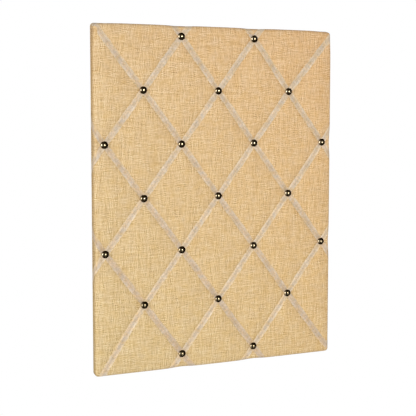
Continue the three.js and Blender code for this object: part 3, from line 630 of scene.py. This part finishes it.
# Ribbons: ten lengths of pale woven ribbon with firm, lighter selvedges. Five fall to the right
# and are laid first, five rise over them; each is taken over the edge and stapled on the core.
RIBBON_THICKNESS = 0.0005
RIBBON_LIFT = 0.00012
RIBBON_STEP = 0.0035
RIBBON_SHARES = (-1.0, -0.72, -0.36, 0.0, 0.36, 0.72, 1.0)  # points across, from edge to edge
TACK_PINCH = 0.16  # share of the width that a tack gathers in
PINCH_RUN = 0.012
STRAY = 0.00035  # how far a ribbon wanders between tacks
SLANT_RUN = 0.014  # before the rim, over which its cross-section turns to lie along the edge
RISING_LIFT = 0.00065  # a rising ribbon's step up over a falling one at a tack
SEAT_REACH = 0.011
SEAT_RAMP = 0.005
CORE_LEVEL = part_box("core_board")[1].y
TAIL_RAMP = 0.005
TAIL_END = FLAP_WIDTH + 0.017
CRISP_EDGE = 0.8  # an edge turned further than this, in radians, stays sharp

cover_surface = BVHTree.FromObject(cover, bpy.context.evaluated_depsgraph_get())


def fabric_level(spot):
    hit = cover_surface.ray_cast(Vector((spot[0], -0.1, spot[1])), Vector((0, 1, 0)))[0]
    return hit.y if hit else EDGE_LEVEL


def smooth_step(share):
    share = min(max(share, 0.0), 1.0)
    return share * share * (3 - 2 * share)


def rim_reaches(end, hand):
    """From the middle of a ribbon to its points across, where it meets the rim."""
    alongs = [end["along"] + hand * share * end["half"] for share in RIBBON_SHARES]
    return [edge_spot(end["edge"], EDGE_ROLL, along, RIM_DRAW)[0] - end["rim"] for along in alongs]


def front_stations(run, lift_at_tacks, seed):
    """Cross-sections of a ribbon along the front, from rim to rim: points on the fabric."""
    points = run_points(run)
    lengths = [np.linalg.norm(b - a) for a, b in zip(points, points[1:])]
    total = sum(lengths)
    knots = np.cumsum([0, *lengths])
    stations = []
    for at in np.linspace(0, total, round(total / RIBBON_STEP)):
        k = min(int(np.searchsorted(knots, at, side="right")) - 1, len(lengths) - 1)
        heading = (points[k + 1] - points[k]) / lengths[k]
        centre = points[k] + heading * (at - knots[k])
        side = np.array((-heading[1], heading[0]))
        to_tack = min(abs(at - knot) for knot in knots[1:-1])
        free = min(at, total - at)
        wave = math.sin(at * 23 + seed * 1.7) + 0.6 * math.sin(at * 61 + seed * 3.1)
        loose = smooth_step((to_tack - 0.008) / 0.03) * smooth_step(free / 0.02)
        centre = centre + side * STRAY * wave * loose
        half = RIBBON_WIDTH / 2 * (1 - TACK_PINCH * bell(to_tack, PINCH_RUN))
        scallop = 0.03 * math.sin(at * 173 + seed * 1.1) + 0.025 * math.sin(at * 291 + seed * 2.9)
        half *= 1 + 0.03 * math.sin(at * 37 + seed * 2.3) + scallop
        reaches = [side * half * share for share in RIBBON_SHARES]
        for end, gone in ((run["first"], at), (run["last"], total - at)):
            slant = smooth_step(1 - gone / SLANT_RUN)
            if slant > 0:
                hand = 1 if end["edge"]["along"] @ side > 0 else -1
                rim = rim_reaches(end, hand)
                reaches = [a * (1 - slant) + b * slant for a, b in zip(reaches, rim)]
        spots = [centre + reach for reach in reaches]
        levels = [fabric_level(spot) for spot in spots]
        flat = sum(levels) / len(levels)
        rise = lift_at_tacks * smooth_step((SEAT_REACH + SEAT_RAMP - to_tack) / SEAT_RAMP)
        laid = [min(level, flat) - RIBBON_LIFT - rise for level in levels]
        stations.append([Vector((spot[0], level, spot[1])) for spot, level in zip(spots, laid)])
    return stations


def wrap_stations(end, hand):
    """Cross-sections over the edge and on the back, from the rim to the ribbon's end."""
    edge, start = end["edge"], end["along"]
    path = []
    for inset, level, draw, gone in edge_roll(EDGE_ROLL, 0.0, EDGE_LEVEL, 6) + side_rings:
        turn = min(gone / EDGE_ROLL, math.pi / 2)
        path.append((inset, level, math.sin(turn), -math.cos(turn), draw, gone))
    for turn in (math.pi / 4, math.pi / 2):
        inset = BACK_ROLL * (1 - math.cos(turn))
        level = FLAP_LEVEL - BACK_ROLL * (1 - math.sin(turn))
        path.append((inset, level, math.cos(turn), math.sin(turn), 0.0, None))
    for inset in (0.008, 0.016, FLAP_WIDTH + FIT_GAP):
        path.append((inset, FLAP_LEVEL, 0.0, 1.0, 0.0, None))
    for inset in (FLAP_WIDTH + TAIL_RAMP, TAIL_END - 0.006, TAIL_END):
        path.append((inset, CORE_LEVEL, 0.0, 1.0, 0.0, None))
    on_back = start + end["drift"] * (roll_length + side_length)
    tail_half = RIBBON_WIDTH / 2 * math.hypot(1, end["tail_drift"])
    stations = []
    for inset, level, out, back, draw, gone in path:
        middle = on_back + end["tail_drift"] * inset if gone is None else start + end["drift"] * gone
        reach = tail_half if gone is None else end["half"]
        section = []
        for share in RIBBON_SHARES:
            along = middle + hand * share * reach
            spot, spread = edge["out"] * (edge["reach"] - inset) + edge["along"] * along, edge["out"]
            if inset <= CORNER_RADIUS:
                spot, spread = edge_spot(edge, inset, along, draw)
            spot = spot + spread * out * RIBBON_LIFT
            section.append(Vector((spot[0], level + back * RIBBON_LIFT, spot[1])))
        stations.append(section)
    return stations


def ribbon_piece(name, run, lift_at_tacks, seed):
    """A ribbon from end to end as a strip with its thickness, and its length."""
    front = front_stations(run, lift_at_tacks, seed)
    ends = []
    for end, section in ((run["first"], front[0]), (run["last"], front[-1])):
        lead, along = section[-1] - section[0], end["edge"]["along"]
        hand = 1 if lead.x * along[0] + lead.z * along[1] > 0 else -1
        ends.append(wrap_stations(end, hand))
    stations = [*reversed(ends[0]), *front, *ends[1]]
    strip = bmesh.new()
    woven = strip.loops.layers.uv.new("woven")
    grid = [[strip.verts.new(p) for p in section] for section in stations]
    middle = len(RIBBON_SHARES) // 2
    gone = [0.0]
    for a, b in zip(stations, stations[1:]):
        gone.append(gone[-1] + (b[middle] - a[middle]).length)
    for s in range(len(grid) - 1):
        for c in range(len(RIBBON_SHARES) - 1):
            corners = [(s, c), (s, c + 1), (s + 1, c + 1), (s + 1, c)]
            face = strip.faces.new([grid[i][k] for i, k in corners])
            for loop, (i, k) in zip(face.loops, corners):
                loop[woven].uv = (RIBBON_SHARES[k] * RIBBON_WIDTH / 2, gone[i])
    strip.normal_update()
    piece = piece_from(strip, name)
    thicken(piece, RIBBON_THICKNESS, 1)
    bpy.ops.object.shade_smooth_by_angle(angle=CRISP_EDGE)
    return piece, gone[-1]


RIB_PITCH = 0.0009
END_PITCH = 0.0007
LIGHT_HEAD, LIGHT_FOOT = 0.25, -0.25  # heights between which a ribbon's painted sheen and painted light change


def ribbon_finish(name, middle_colour, selvedge_colour, gloss, painted_light):
    """Woven ribbon with painted light: its selvedges' painted sheen and its overall lightness change from
    the board's head to its foot.
    """
    finish, shader = new_finish(name)
    woven = add_node(shader, "ShaderNodeUVMap", uv_map="woven").outputs["UV"]
    axes = add_node(shader, "ShaderNodeSeparateXYZ", {0: woven}).outputs
    from_middle = reckon("ABSOLUTE", axes["X"])
    firm = remap(from_middle, (RIBBON_WIDTH * 0.12, RIBBON_WIDTH * 0.3), way="SMOOTHSTEP")
    height = add_node(shader, "ShaderNodeSeparateXYZ", {0: object_place(shader)}).outputs["Z"]
    # The gloss pair sets the selvedges' painted sheen, not the roughness; the painted light pair sets the
    # ribbon's painted lightness.
    painted_sheen_here, painted_light_here = (
        remap(height, (LIGHT_HEAD, LIGHT_FOOT), change) for change in (gloss, painted_light)
    )
    selvedge = reckon("MULTIPLY", firm, painted_sheen_here)
    ribs = wave(axes["Y"], RIB_PITCH)
    ends = wave(axes["X"], END_PITCH)
    yarn = speckle(woven, 0.0008, 2.0, (1.0, 18.0, 1.0))
    nub = speckle(woven, 0.0024, 1.0, (1.0, 1.5, 1.0))
    cloud = speckle(woven, 0.016, 1.0, (0.6, 1.6, 1.0))
    tint = speckle(woven, 0.009, 1.0)
    colours = {0: selvedge, 6: srgb(*middle_colour), 7: srgb(*selvedge_colour)}
    plain = add_node(shader, "ShaderNodeMix", colours, data_type="RGBA", clamp_factor=False).outputs[2]
    # Painted light: the whole ribbon's lightness follows its height on the board.
    shade = weigh(0.02, (yarn, 0.25), (nub, 0.8), (painted_light_here, 1.0), (cloud, 0.5))
    shade = weigh(shade, (ends, 0.07), (ribs, 0.08))
    shaded = {"Saturation": reckon("ADD", tint, 0.5), "Value": shade, "Color": plain}
    colour = add_node(shader, "ShaderNodeHueSaturation", shaded).outputs[0]
    relief = bump(weigh(ribs, (ends, 0.5)), 0.3, 0.0001)
    paint(shader, colour, 0.55, relief, {"Specular IOR Level": 0.5, "Sheen Weight": 0.1})
    return finish


# Falling and rising ribbons are one ribbon; their two colours, lighter on the rising ones, are painted
# sheen.
falling_ribbon = ribbon_finish(
    "falling_ribbon", (197, 171, 141), (208, 184, 149), gloss=(0.95, 0.45), painted_light=(0.205, 0.23)
)
rising_ribbon = ribbon_finish(
    "rising_ribbon", (204, 180, 150), (220, 196, 161), gloss=(0.5, 1.2), painted_light=(0.17, 0.24)
)
for seed, (name, run) in enumerate(ribbon_runs.items()):
    rising = "rising" in name
    piece, length = ribbon_piece(name + "_woven", run, RISING_LIFT if rising else 0.0, seed)
    dress(piece, rising_ribbon if rising else falling_ribbon)
    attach(piece, "board")
    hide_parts(name)

# Tacks: upholsterer's tacks with a pressed, domed head in dark antique bronze and a pointed shank
# through ribbons, cloth and wadding into the core. Each head has a painted highlight, a patch of
# lighter metal colour a little to one side of its crown and on the same side of its rim, and a
# slightly lighter ring round its rim.
TACK_RADIUS = 0.0064
HEAD_HEIGHT = 0.0045
SHANK_RADIUS = 0.0008
SHANK_ROOT = 0.0029  # the shank starts this far inside the hollow head
TACK_POINT = 0.003
MERGE = 0.00001
UPRIGHT = (math.pi / 2, 0, 0)  # lays a primitive's axis from front to back
tack_low, tack_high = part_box(tack_nodes[0])
HEAD_RIM = tack_low.y + HEAD_HEIGHT
dome_radius = (TACK_RADIUS**2 + HEAD_HEIGHT**2) / (2 * HEAD_HEIGHT)


def start_piece(name, add, **settings):
    """Adds the primitive that a piece is shaped from."""
    bpy.ops.object.select_all(action="DESELECT")
    add(**settings)
    bpy.context.object.name = name
    return bpy.context.object


def open_mesh():
    """Puts the new piece's place into its mesh and opens it in edit mode, selected all over."""
    bpy.ops.object.transform_apply()
    bpy.ops.object.mode_set(mode="EDIT")
    bpy.ops.mesh.select_all(action="SELECT")


def lengthen(x, y, z):
    """Extrudes the selected edges or faces by a step."""
    bpy.ops.mesh.extrude_region_move(TRANSFORM_OT_translate={"value": (x, y, z)})


def draw_rings(radius, level, steps):
    """Extrudes the selected ring along the piece's axis; a step is a shift and the new radius."""
    for shift, wanted in steps:
        level += shift
        scale = wanted / radius
        lengthen(0, shift, 0)
        bpy.ops.transform.resize(value=(scale, 1, scale), center_override=(0, level, 0))
        radius = wanted


def set_copies(model, ending, places):
    """Sets a copy of the model, with a mesh of its own, for each CAD node that it stands for."""
    for name, (x, z) in places.items():
        piece = model.copy()
        piece.data = model.data.copy()
        piece.name = name + ending
        scene.collection.objects.link(piece)
        piece.data.transform(Matrix.Translation((x, 0, z)))
        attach(piece, "board")
        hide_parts(name)
    bpy.data.objects.remove(model)


tack_model = start_piece(
    "tack_model",
    bpy.ops.mesh.primitive_uv_sphere_add,
    segments=40,
    ring_count=36,
    radius=dome_radius,
    rotation=UPRIGHT,
)
tack_model.location.y = tack_low.y + dome_radius
open_mesh()
bpy.ops.mesh.bisect(plane_co=(0, HEAD_RIM, 0), plane_no=(0, 1, 0), clear_outer=True)
tack_rings = [
    (0.0001, TACK_RADIUS + 0.00008),
    (0.0002, TACK_RADIUS),
    (0.0, TACK_RADIUS - 0.0007),
    (-0.0012, TACK_RADIUS - 0.0012),
    (-0.0018, TACK_RADIUS - 0.003),
    (-0.0004, SHANK_RADIUS * 1.6),
    (0.0002, SHANK_RADIUS),
    (tack_high.y - TACK_POINT - HEAD_RIM + SHANK_ROOT, SHANK_RADIUS),
    (TACK_POINT, SHANK_RADIUS * 0.05),
]
draw_rings(TACK_RADIUS, HEAD_RIM, tack_rings)
bpy.ops.mesh.merge(type="CENTER")
close_mesh(MERGE)
bpy.ops.object.shade_smooth_by_angle(angle=math.radians(50))

PAINTED_HIGHLIGHT_ASIDE = -0.0008  # the painted highlight sits a little to one side of the crown
PAINTED_HIGHLIGHT_WIDE, PAINTED_HIGHLIGHT_TALL = 0.0017, 0.0022
PAINTED_HIGHLIGHT_SIDE = math.radians(30)  # a painted highlight lies on the rim over this turn, on the same side
painted_highlight_and_rim_share = tack_model.data.attributes.new("worn", "FLOAT", "POINT")
for vertex, share in zip(tack_model.data.vertices, painted_highlight_and_rim_share.data):
    x, z = vertex.co.x, vertex.co.z
    away = math.hypot(x, z) / TACK_RADIUS
    if vertex.co.y > HEAD_RIM + 0.00015 or away < 0.01 and vertex.co.y > HEAD_RIM - 0.002:
        continue
    # Painted highlight: lighter metal colour at an off-centre crown spot and on one side of the rim; a
    # lighter ring round the whole rim.
    off_spot = math.hypot((x - PAINTED_HIGHLIGHT_ASIDE) / PAINTED_HIGHLIGHT_WIDE, z / PAINTED_HIGHLIGHT_TALL)
    spot = math.exp(-(off_spot**3))
    side = bell(math.atan2(z, -x), PAINTED_HIGHLIGHT_SIDE) * smooth_step((away - 0.7) / 0.12)
    share.value = max(0.7 * spot, side, 0.22 * smooth_step((away - 0.9) / 0.08))

antique_bronze, shader = new_finish("antique_bronze")
worn = add_node(shader, "ShaderNodeAttribute", attribute_name="worn").outputs["Fac"]
patina = speckle(object_place(shader), 0.0016, 4.0)
painted_highlight_rim_and_patina = weigh(-0.06, (worn, 1.0), (patina, 0.12))
bronze_steps = [(0.0, (32, 25, 14)), (0.22, (66, 55, 36)), (0.6, (138, 124, 98)), (1.0, (212, 201, 178))]
bronze = colour_steps(painted_highlight_rim_and_patina, bronze_steps)
polish = remap(patina, wanted=(0.16, 0.3))
metal = {"Metallic": 1.0, "Specular Tint": (0.25, 0.2, 0.14, 1.0)}
paint(shader, bronze, polish, bump(patina, 0.08, 0.0001), metal)
dress(tack_model, antique_bronze)
set_copies(tack_model, "_domed", tack_places)

# Staples: galvanised wire staples across the ribbons' ends, under the backing sheet. They are the
# CAD solids with a bright, slightly dulled zinc finish.


def zinc_coat(shader, tone, dark, bright, gloss, relief=None):
    """Zinc whose colour and roughness both follow one tone."""
    colour = colour_steps(tone, [(0.3, dark), (0.7, bright)])
    paint(shader, colour, remap(tone, wanted=gloss), relief, {"Metallic": 1.0})


zinc_wire, shader = new_finish("zinc_wire")
spangle = speckle(object_place(shader), 0.0009, 3.0)
zinc_coat(shader, spangle, (158, 161, 164), (201, 204, 206), (0.28, 0.48))
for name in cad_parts:
    if name.startswith("staple_"):
        dress(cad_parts[name], zinc_wire)

# Backing: a sheet of stiff kraft paper glued over the back, a little inside the edges, which hides
# the staples and the cloth's cut edge. It is the CAD solid.
kraft_paper, shader = new_finish("kraft_paper")
place = object_place(shader)
pulp = speckle(place, 0.0011, 5.0)
shive = speckle(place, 0.0016, 2.0, (5.0, 1.0, 1.0))
cloud = speckle(place, 0.06, 2.0)
paper_tone = weigh(-0.08, (pulp, 0.4), (shive, 0.5), (cloud, 0.25))
paper_steps = [(0.25, (128, 108, 82)), (0.5, (168, 144, 112)), (0.75, (188, 166, 134))]
paint(shader, colour_steps(paper_tone, paper_steps), 0.82, bump(pulp, 0.15, 0.0002))
dress(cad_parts["backing_sheet"], kraft_paper)

# Hanger strap: a strip of zinc-plated steel folded double round the bar of the ring and closed up
# below it, its end corners rounded, with a punched hole for the screw.
STRAP_SHEET = 0.0008
EYE_RADIUS = 0.0022
END_CORNER = 0.0025
SCREW_HOLE = 0.0018
PUNCH_LENGTH = 0.004
NEAR = 1e-5
strap_low, strap_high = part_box("hanger_strap")
screw_z = middle_of("hanger_screw")[1]
eye = Vector((0, strap_low.y + EYE_RADIUS, strap_high.z - EYE_RADIUS))
leaf_length = eye.z - strap_low.z
fold_radius = EYE_RADIUS - STRAP_SHEET / 2
leaf_back = EYE_RADIUS - 1.5 * STRAP_SHEET  # from the rear leaf to the eye's middle
eye_drop = math.sqrt(fold_radius**2 - leaf_back**2)
fold = 2 * math.pi - math.acos(leaf_back / fold_radius)


def pick(piece, wanted):
    """Selects the points of a piece, in edit mode, whose place is wanted."""
    bpy.ops.mesh.select_all(action="DESELECT")
    shape = bmesh.from_edit_mesh(piece.data)
    for point in shape.verts:
        point.select = bool(wanted(point.co))
    shape.select_flush(True)
    bmesh.update_edit_mesh(piece.data)


def cut_with(piece, cutter):
    """Takes a cutter out of a piece and removes the cutter."""
    only(piece)
    hole = piece.modifiers.new("cut", "BOOLEAN")
    hole.operation = "DIFFERENCE"
    hole.object = cutter
    bpy.ops.object.modifier_apply(modifier="cut")
    bpy.data.objects.remove(cutter)


def ease_edges(piece, width, angle):
    """Breaks a piece's sharp edges and smooths the rest."""
    only(piece)
    eased = piece.modifiers.new("eased", "BEVEL")
    eased.width = width
    eased.segments = 2
    eased.angle_limit = math.radians(angle)
    bpy.ops.object.modifier_apply(modifier="eased")
    bpy.ops.object.shade_smooth_by_angle(angle=math.radians(angle))


strap = start_piece("hanger_strap_folded", bpy.ops.mesh.primitive_plane_add, size=1, rotation=UPRIGHT)
strap.scale = (strap_high.x - strap_low.x, leaf_length, 1)
strap.location = (0, strap_low.y + STRAP_SHEET / 2, strap_low.z + leaf_length / 2)
open_mesh()
bpy.ops.mesh.select_mode(type="VERT")
pick(strap, lambda place: place.z > eye.z - NEAR)
bpy.ops.mesh.spin(steps=28, angle=fold, center=eye, axis=(1, 0, 0))
lengthen(0, 0, strap_low.z + eye_drop - eye.z)
pick(strap, lambda place: place.z < strap_low.z + NEAR)
bpy.ops.mesh.bevel(offset=END_CORNER, segments=6, affect="VERTICES")
close_mesh()
thicken(strap, STRAP_SHEET, 0)
punch = start_piece(
    "punch",
    bpy.ops.mesh.primitive_cylinder_add,
    vertices=24,
    radius=SCREW_HOLE,
    depth=PUNCH_LENGTH,
    location=(0, strap_low.y + STRAP_SHEET, screw_z),
    rotation=UPRIGHT,
)
cut_with(strap, punch)
ease_edges(strap, 0.00012, 40)

zinc_plate, shader = new_finish("zinc_plate")
place = object_place(shader)
rolled = speckle(place, 0.0006, 3.0, (1.0, 1.0, 12.0))
plate_tone = weigh(0.0, (speckle(place, 0.004, 3.0), 0.5), (rolled, 0.5))
plate_relief = bump(rolled, 0.05, 0.0001)
zinc_coat(shader, plate_tone, (158, 161, 165), (206, 208, 210), (0.22, 0.45), plate_relief)
dress(strap, zinc_plate)
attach(strap, "board")
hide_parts("hanger_strap")

# Hanger ring: a D of round, zinc-plated wire whose ends meet in the middle of the bar, where the
# strap's eye hides them. It swings on that bar and rests leaning on the backing sheet.
RING_WIRE = 0.0011
RING_HALF = 0.011  # half width, to the wire's middle
RING_HEIGHT = 0.015
RING_CORNER = 0.003
half_bar = RING_HALF - RING_CORNER
shoulder = RING_HEIGHT - RING_CORNER - RING_HALF  # straight between corner and bow


def bend(x, z, angle, steps):
    """Turns the wire's open end round a point of the ring's plane."""
    bpy.ops.mesh.spin(steps=steps, angle=angle, center=(x, 0, z), axis=(0, 1, 0))


ring = start_piece(
    "hanger_ring_bent",
    bpy.ops.mesh.primitive_circle_add,
    vertices=16,
    radius=RING_WIRE,
    rotation=(0, math.pi / 2, 0),
)
open_mesh()
lengthen(half_bar, 0, 0)
bend(half_bar, RING_CORNER, math.pi / 2, 6)
lengthen(0, 0, shoulder)
bend(0, RING_CORNER + shoulder, math.pi, 24)
lengthen(0, 0, -shoulder)
bend(-half_bar, RING_CORNER, math.pi / 2, 6)
lengthen(half_bar, 0, 0)
close_mesh(MERGE)
ring.rotation_euler.x = math.asin((EYE_RADIUS - RING_WIRE) / RING_HEIGHT)
ring.location = eye
bpy.ops.object.transform_apply()
bpy.ops.object.shade_smooth()

zinc_ring, shader = new_finish("zinc_ring")
place = object_place(shader)
drawn = speckle(place, 0.0005, 3.0)
ring_tone = weigh(0.0, (speckle(place, 0.003, 2.0), 0.65), (drawn, 0.35))
ring_relief = bump(drawn, 0.05, 0.0001)
zinc_coat(shader, ring_tone, (150, 153, 156), (214, 215, 216), (0.18, 0.4), ring_relief)
dress(ring, zinc_ring)
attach(ring, "ring")
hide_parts("hanger_ring")

# Hanger screw: a short pan-head wood screw with a cross recess, plated like the ring, through
# strap and backing sheet into the core.
SCREW_SHANK = 0.0015
SCREW_HEAD = 0.0035
HEAD_RISE = 0.002
SCREW_POINT = 0.0025
RECESS_LENGTH = 0.0038
RECESS_WIDTH = 0.0008
RECESS_DEPTH = 0.0012
RECESS_TURN = math.radians(24)
screw_low, screw_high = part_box("hanger_screw")
shank_length = screw_high.y - HEAD_RISE - screw_low.y - SCREW_POINT
screw = start_piece(
    "hanger_screw_cross",
    bpy.ops.mesh.primitive_circle_add,
    vertices=32,
    radius=SCREW_SHANK * 0.1,
    fill_type="NGON",
    rotation=UPRIGHT,
)
screw.location.y = screw_low.y
open_mesh()
screw_rings = [
    (SCREW_POINT, SCREW_SHANK),
    (shank_length, SCREW_SHANK),
    (0.0, SCREW_HEAD - 0.0001),
    (HEAD_RISE * 0.1, SCREW_HEAD),
    (HEAD_RISE * 0.3, SCREW_HEAD - 0.0001),
    (HEAD_RISE * 0.25, SCREW_HEAD - 0.0004),
    (HEAD_RISE * 0.18, SCREW_HEAD - 0.0010),
    (HEAD_RISE * 0.12, SCREW_HEAD - 0.0019),
    (HEAD_RISE * 0.05, SCREW_HEAD - 0.0030),
]
draw_rings(SCREW_SHANK * 0.1, screw_low.y, screw_rings)
close_mesh()
for turn in (0.0, math.pi / 2):
    blade = start_piece("blade", bpy.ops.mesh.primitive_cube_add, size=1, location=(0, screw_high.y, 0))
    blade.scale = (RECESS_LENGTH, 2 * RECESS_DEPTH, RECESS_WIDTH)
    blade.rotation_euler.y = turn + RECESS_TURN
    cut_with(screw, blade)
screw.location = (0, 0, screw_z)
bpy.ops.object.transform_apply()
ease_edges(screw, 0.00008, 35)
dress(screw, zinc_ring)
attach(screw, "board")
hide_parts("hanger_screw")

# Bumpers: two self-adhesive discs punched from thick, dark pressed felt, stuck near the bottom
# corners to keep the back off the wall. Their rims are soft and a little hairy.
bumper_places = {name: middle_of(name) for name in ("bumper_left", "bumper_right")}
bumper_low, bumper_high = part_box("bumper_left")
FELT_RADIUS = (bumper_high.x - bumper_low.x) / 2
FELT_FOOT = FELT_RADIUS * 0.97
FELT_HAIR = 0.00016
felt_depth = bumper_high.y - bumper_low.y
felt_disc = start_piece(
    "felt_disc",
    bpy.ops.mesh.primitive_circle_add,
    vertices=56,
    radius=FELT_FOOT,
    fill_type="TRIFAN",
    rotation=UPRIGHT,
)
felt_disc.location.y = bumper_low.y
open_mesh()
felt_rings = (
    (0.08, 0.99),
    (0.16, 0.985),
    (0.18, 0.99),
    (0.18, 0.985),
    (0.18, 0.98),
    (0.12, 0.95),
    (0.07, 0.88),
    (0.02, 0.8),
    (0.0, 0.6),
    (0.0, 0.35),
)
draw_rings(FELT_FOOT, bumper_low.y, [(felt_depth * s, FELT_RADIUS * r) for s, r in felt_rings])
pick(felt_disc, lambda place: 0.05 < (place.y - bumper_low.y) / felt_depth < 0.93)
bpy.ops.transform.vertex_random(offset=FELT_HAIR, uniform=1.0, normal=0.0, seed=5)
close_mesh()
bpy.ops.object.shade_smooth()

pressed_felt, shader = new_finish("pressed_felt")
place = object_place(shader)
hair = speckle(place, 0.0007, 6.0)
strands = speckle(place, 0.0004, 3.0, (6.0, 1.0, 2.0))
fuzz = weigh(0.0, (hair, 0.5), (strands, 0.5))
felt_steps = [(0.32, (50, 45, 41)), (0.5, (80, 73, 67)), (0.68, (122, 114, 106))]
paint(shader, colour_steps(fuzz, felt_steps), 1.0, bump(fuzz, 0.7, 0.0006), {"Sheen Weight": 0.4})
dress(felt_disc, pressed_felt)
set_copies(felt_disc, "_felt", bumper_places)

# Floor: a plain, pale square, at the height below a board hung on a wall at eye level. A little
# paleness of its own, which lights nothing, joins it to the white background.
FLOOR_LEVEL = -1.5
PALENESS = 0.55
floor = start_piece("floor", bpy.ops.mesh.primitive_plane_add, size=3.0, location=(0, 0, FLOOR_LEVEL))


def seen_directly(shader):
    """1 for the rays that show a surface to the camera, straight, mirrored or through glass; else 0."""
    sight = add_node(shader, "ShaderNodeLightPath").outputs
    seen = reckon("MAXIMUM", sight["Is Camera Ray"], sight["Is Glossy Ray"])
    return reckon("MAXIMUM", seen, sight["Is Transmission Ray"])


pale_floor, shader = new_finish("pale_floor")
glow = reckon("MULTIPLY", seen_directly(shader), PALENESS)
white_glow = {"Emission Color": (1, 1, 1, 1), "Emission Strength": glow}
paint(shader, srgb(238, 237, 234), 0.9, others=white_glow)
floor.data.materials.append(pale_floor)

# Light: a softbox in front of the board, a broad, dim panel on the left, a narrow softbox level
# with the front on the same side and one behind, with a weak, even light from all round. The
# softbox behind isn't mirrored, so that the bright zinc of the hanger keeps its tone.
AMBIENT = 0.10
world = bpy.data.worlds.new("studio")
scene.world = world
world.use_nodes = True
background = world.node_tree.nodes["Background"]
strength = remap(seen_directly(background), wanted=(AMBIENT, 1.0))
feed(background, {"Color": (1, 1, 1, 1), "Strength": strength})


def softbox(name, place, width, height, level):
    """A rectangular lamp that faces the board's middle and gives it that share of full light."""
    lamp = bpy.data.lights.new(name, "AREA")
    lamp.shape = "RECTANGLE"
    lamp.size = width
    lamp.size_y = height
    lamp.energy = level * math.pi**2 * Vector(place).length_squared
    rig = bpy.data.objects.new(name, lamp)
    rig.location = place
    rig.rotation_euler = (-Vector(place)).to_track_quat("-Z", "Y").to_euler()
    rig.visible_camera = False
    scene.collection.objects.link(rig)
    return rig


softbox("front_softbox", (0.2, -2.3, 0.25), 0.75, 0.75, 0.725)
softbox("left_panel", (-4.35, -2.92, 1.6), 4.2, 4.2, 0.29)
softbox("side_softbox", (-1.9, -0.16, 0.12), 0.7, 1.0, 0.33)
rear_softbox = softbox("rear_softbox", (0.6, 1.9, 0.05), 1.6, 1.6, 0.7)
rear_softbox.visible_glossy = False

# Camera: to the left of the board and a little above its middle, as in the photograph. Place, turn
# and lens were fitted to the board's edges and tacks.
CAMERA_PLACE = (-0.55737, -1.40891, 0.15046)
CAMERA_DOWN = math.radians(4.198)
CAMERA_TURN = math.radians(-21.212)
lens = bpy.data.cameras.new("camera")
lens.sensor_width = 36.0
lens.lens = 73.253
lens.shift_y = -0.08
camera = bpy.data.objects.new("camera", lens)
camera.location = CAMERA_PLACE
camera.rotation_euler = (math.pi / 2 - CAMERA_DOWN, 0, CAMERA_TURN)
scene.collection.objects.link(camera)
scene.camera = camera
scene.view_settings.view_transform = "Standard"
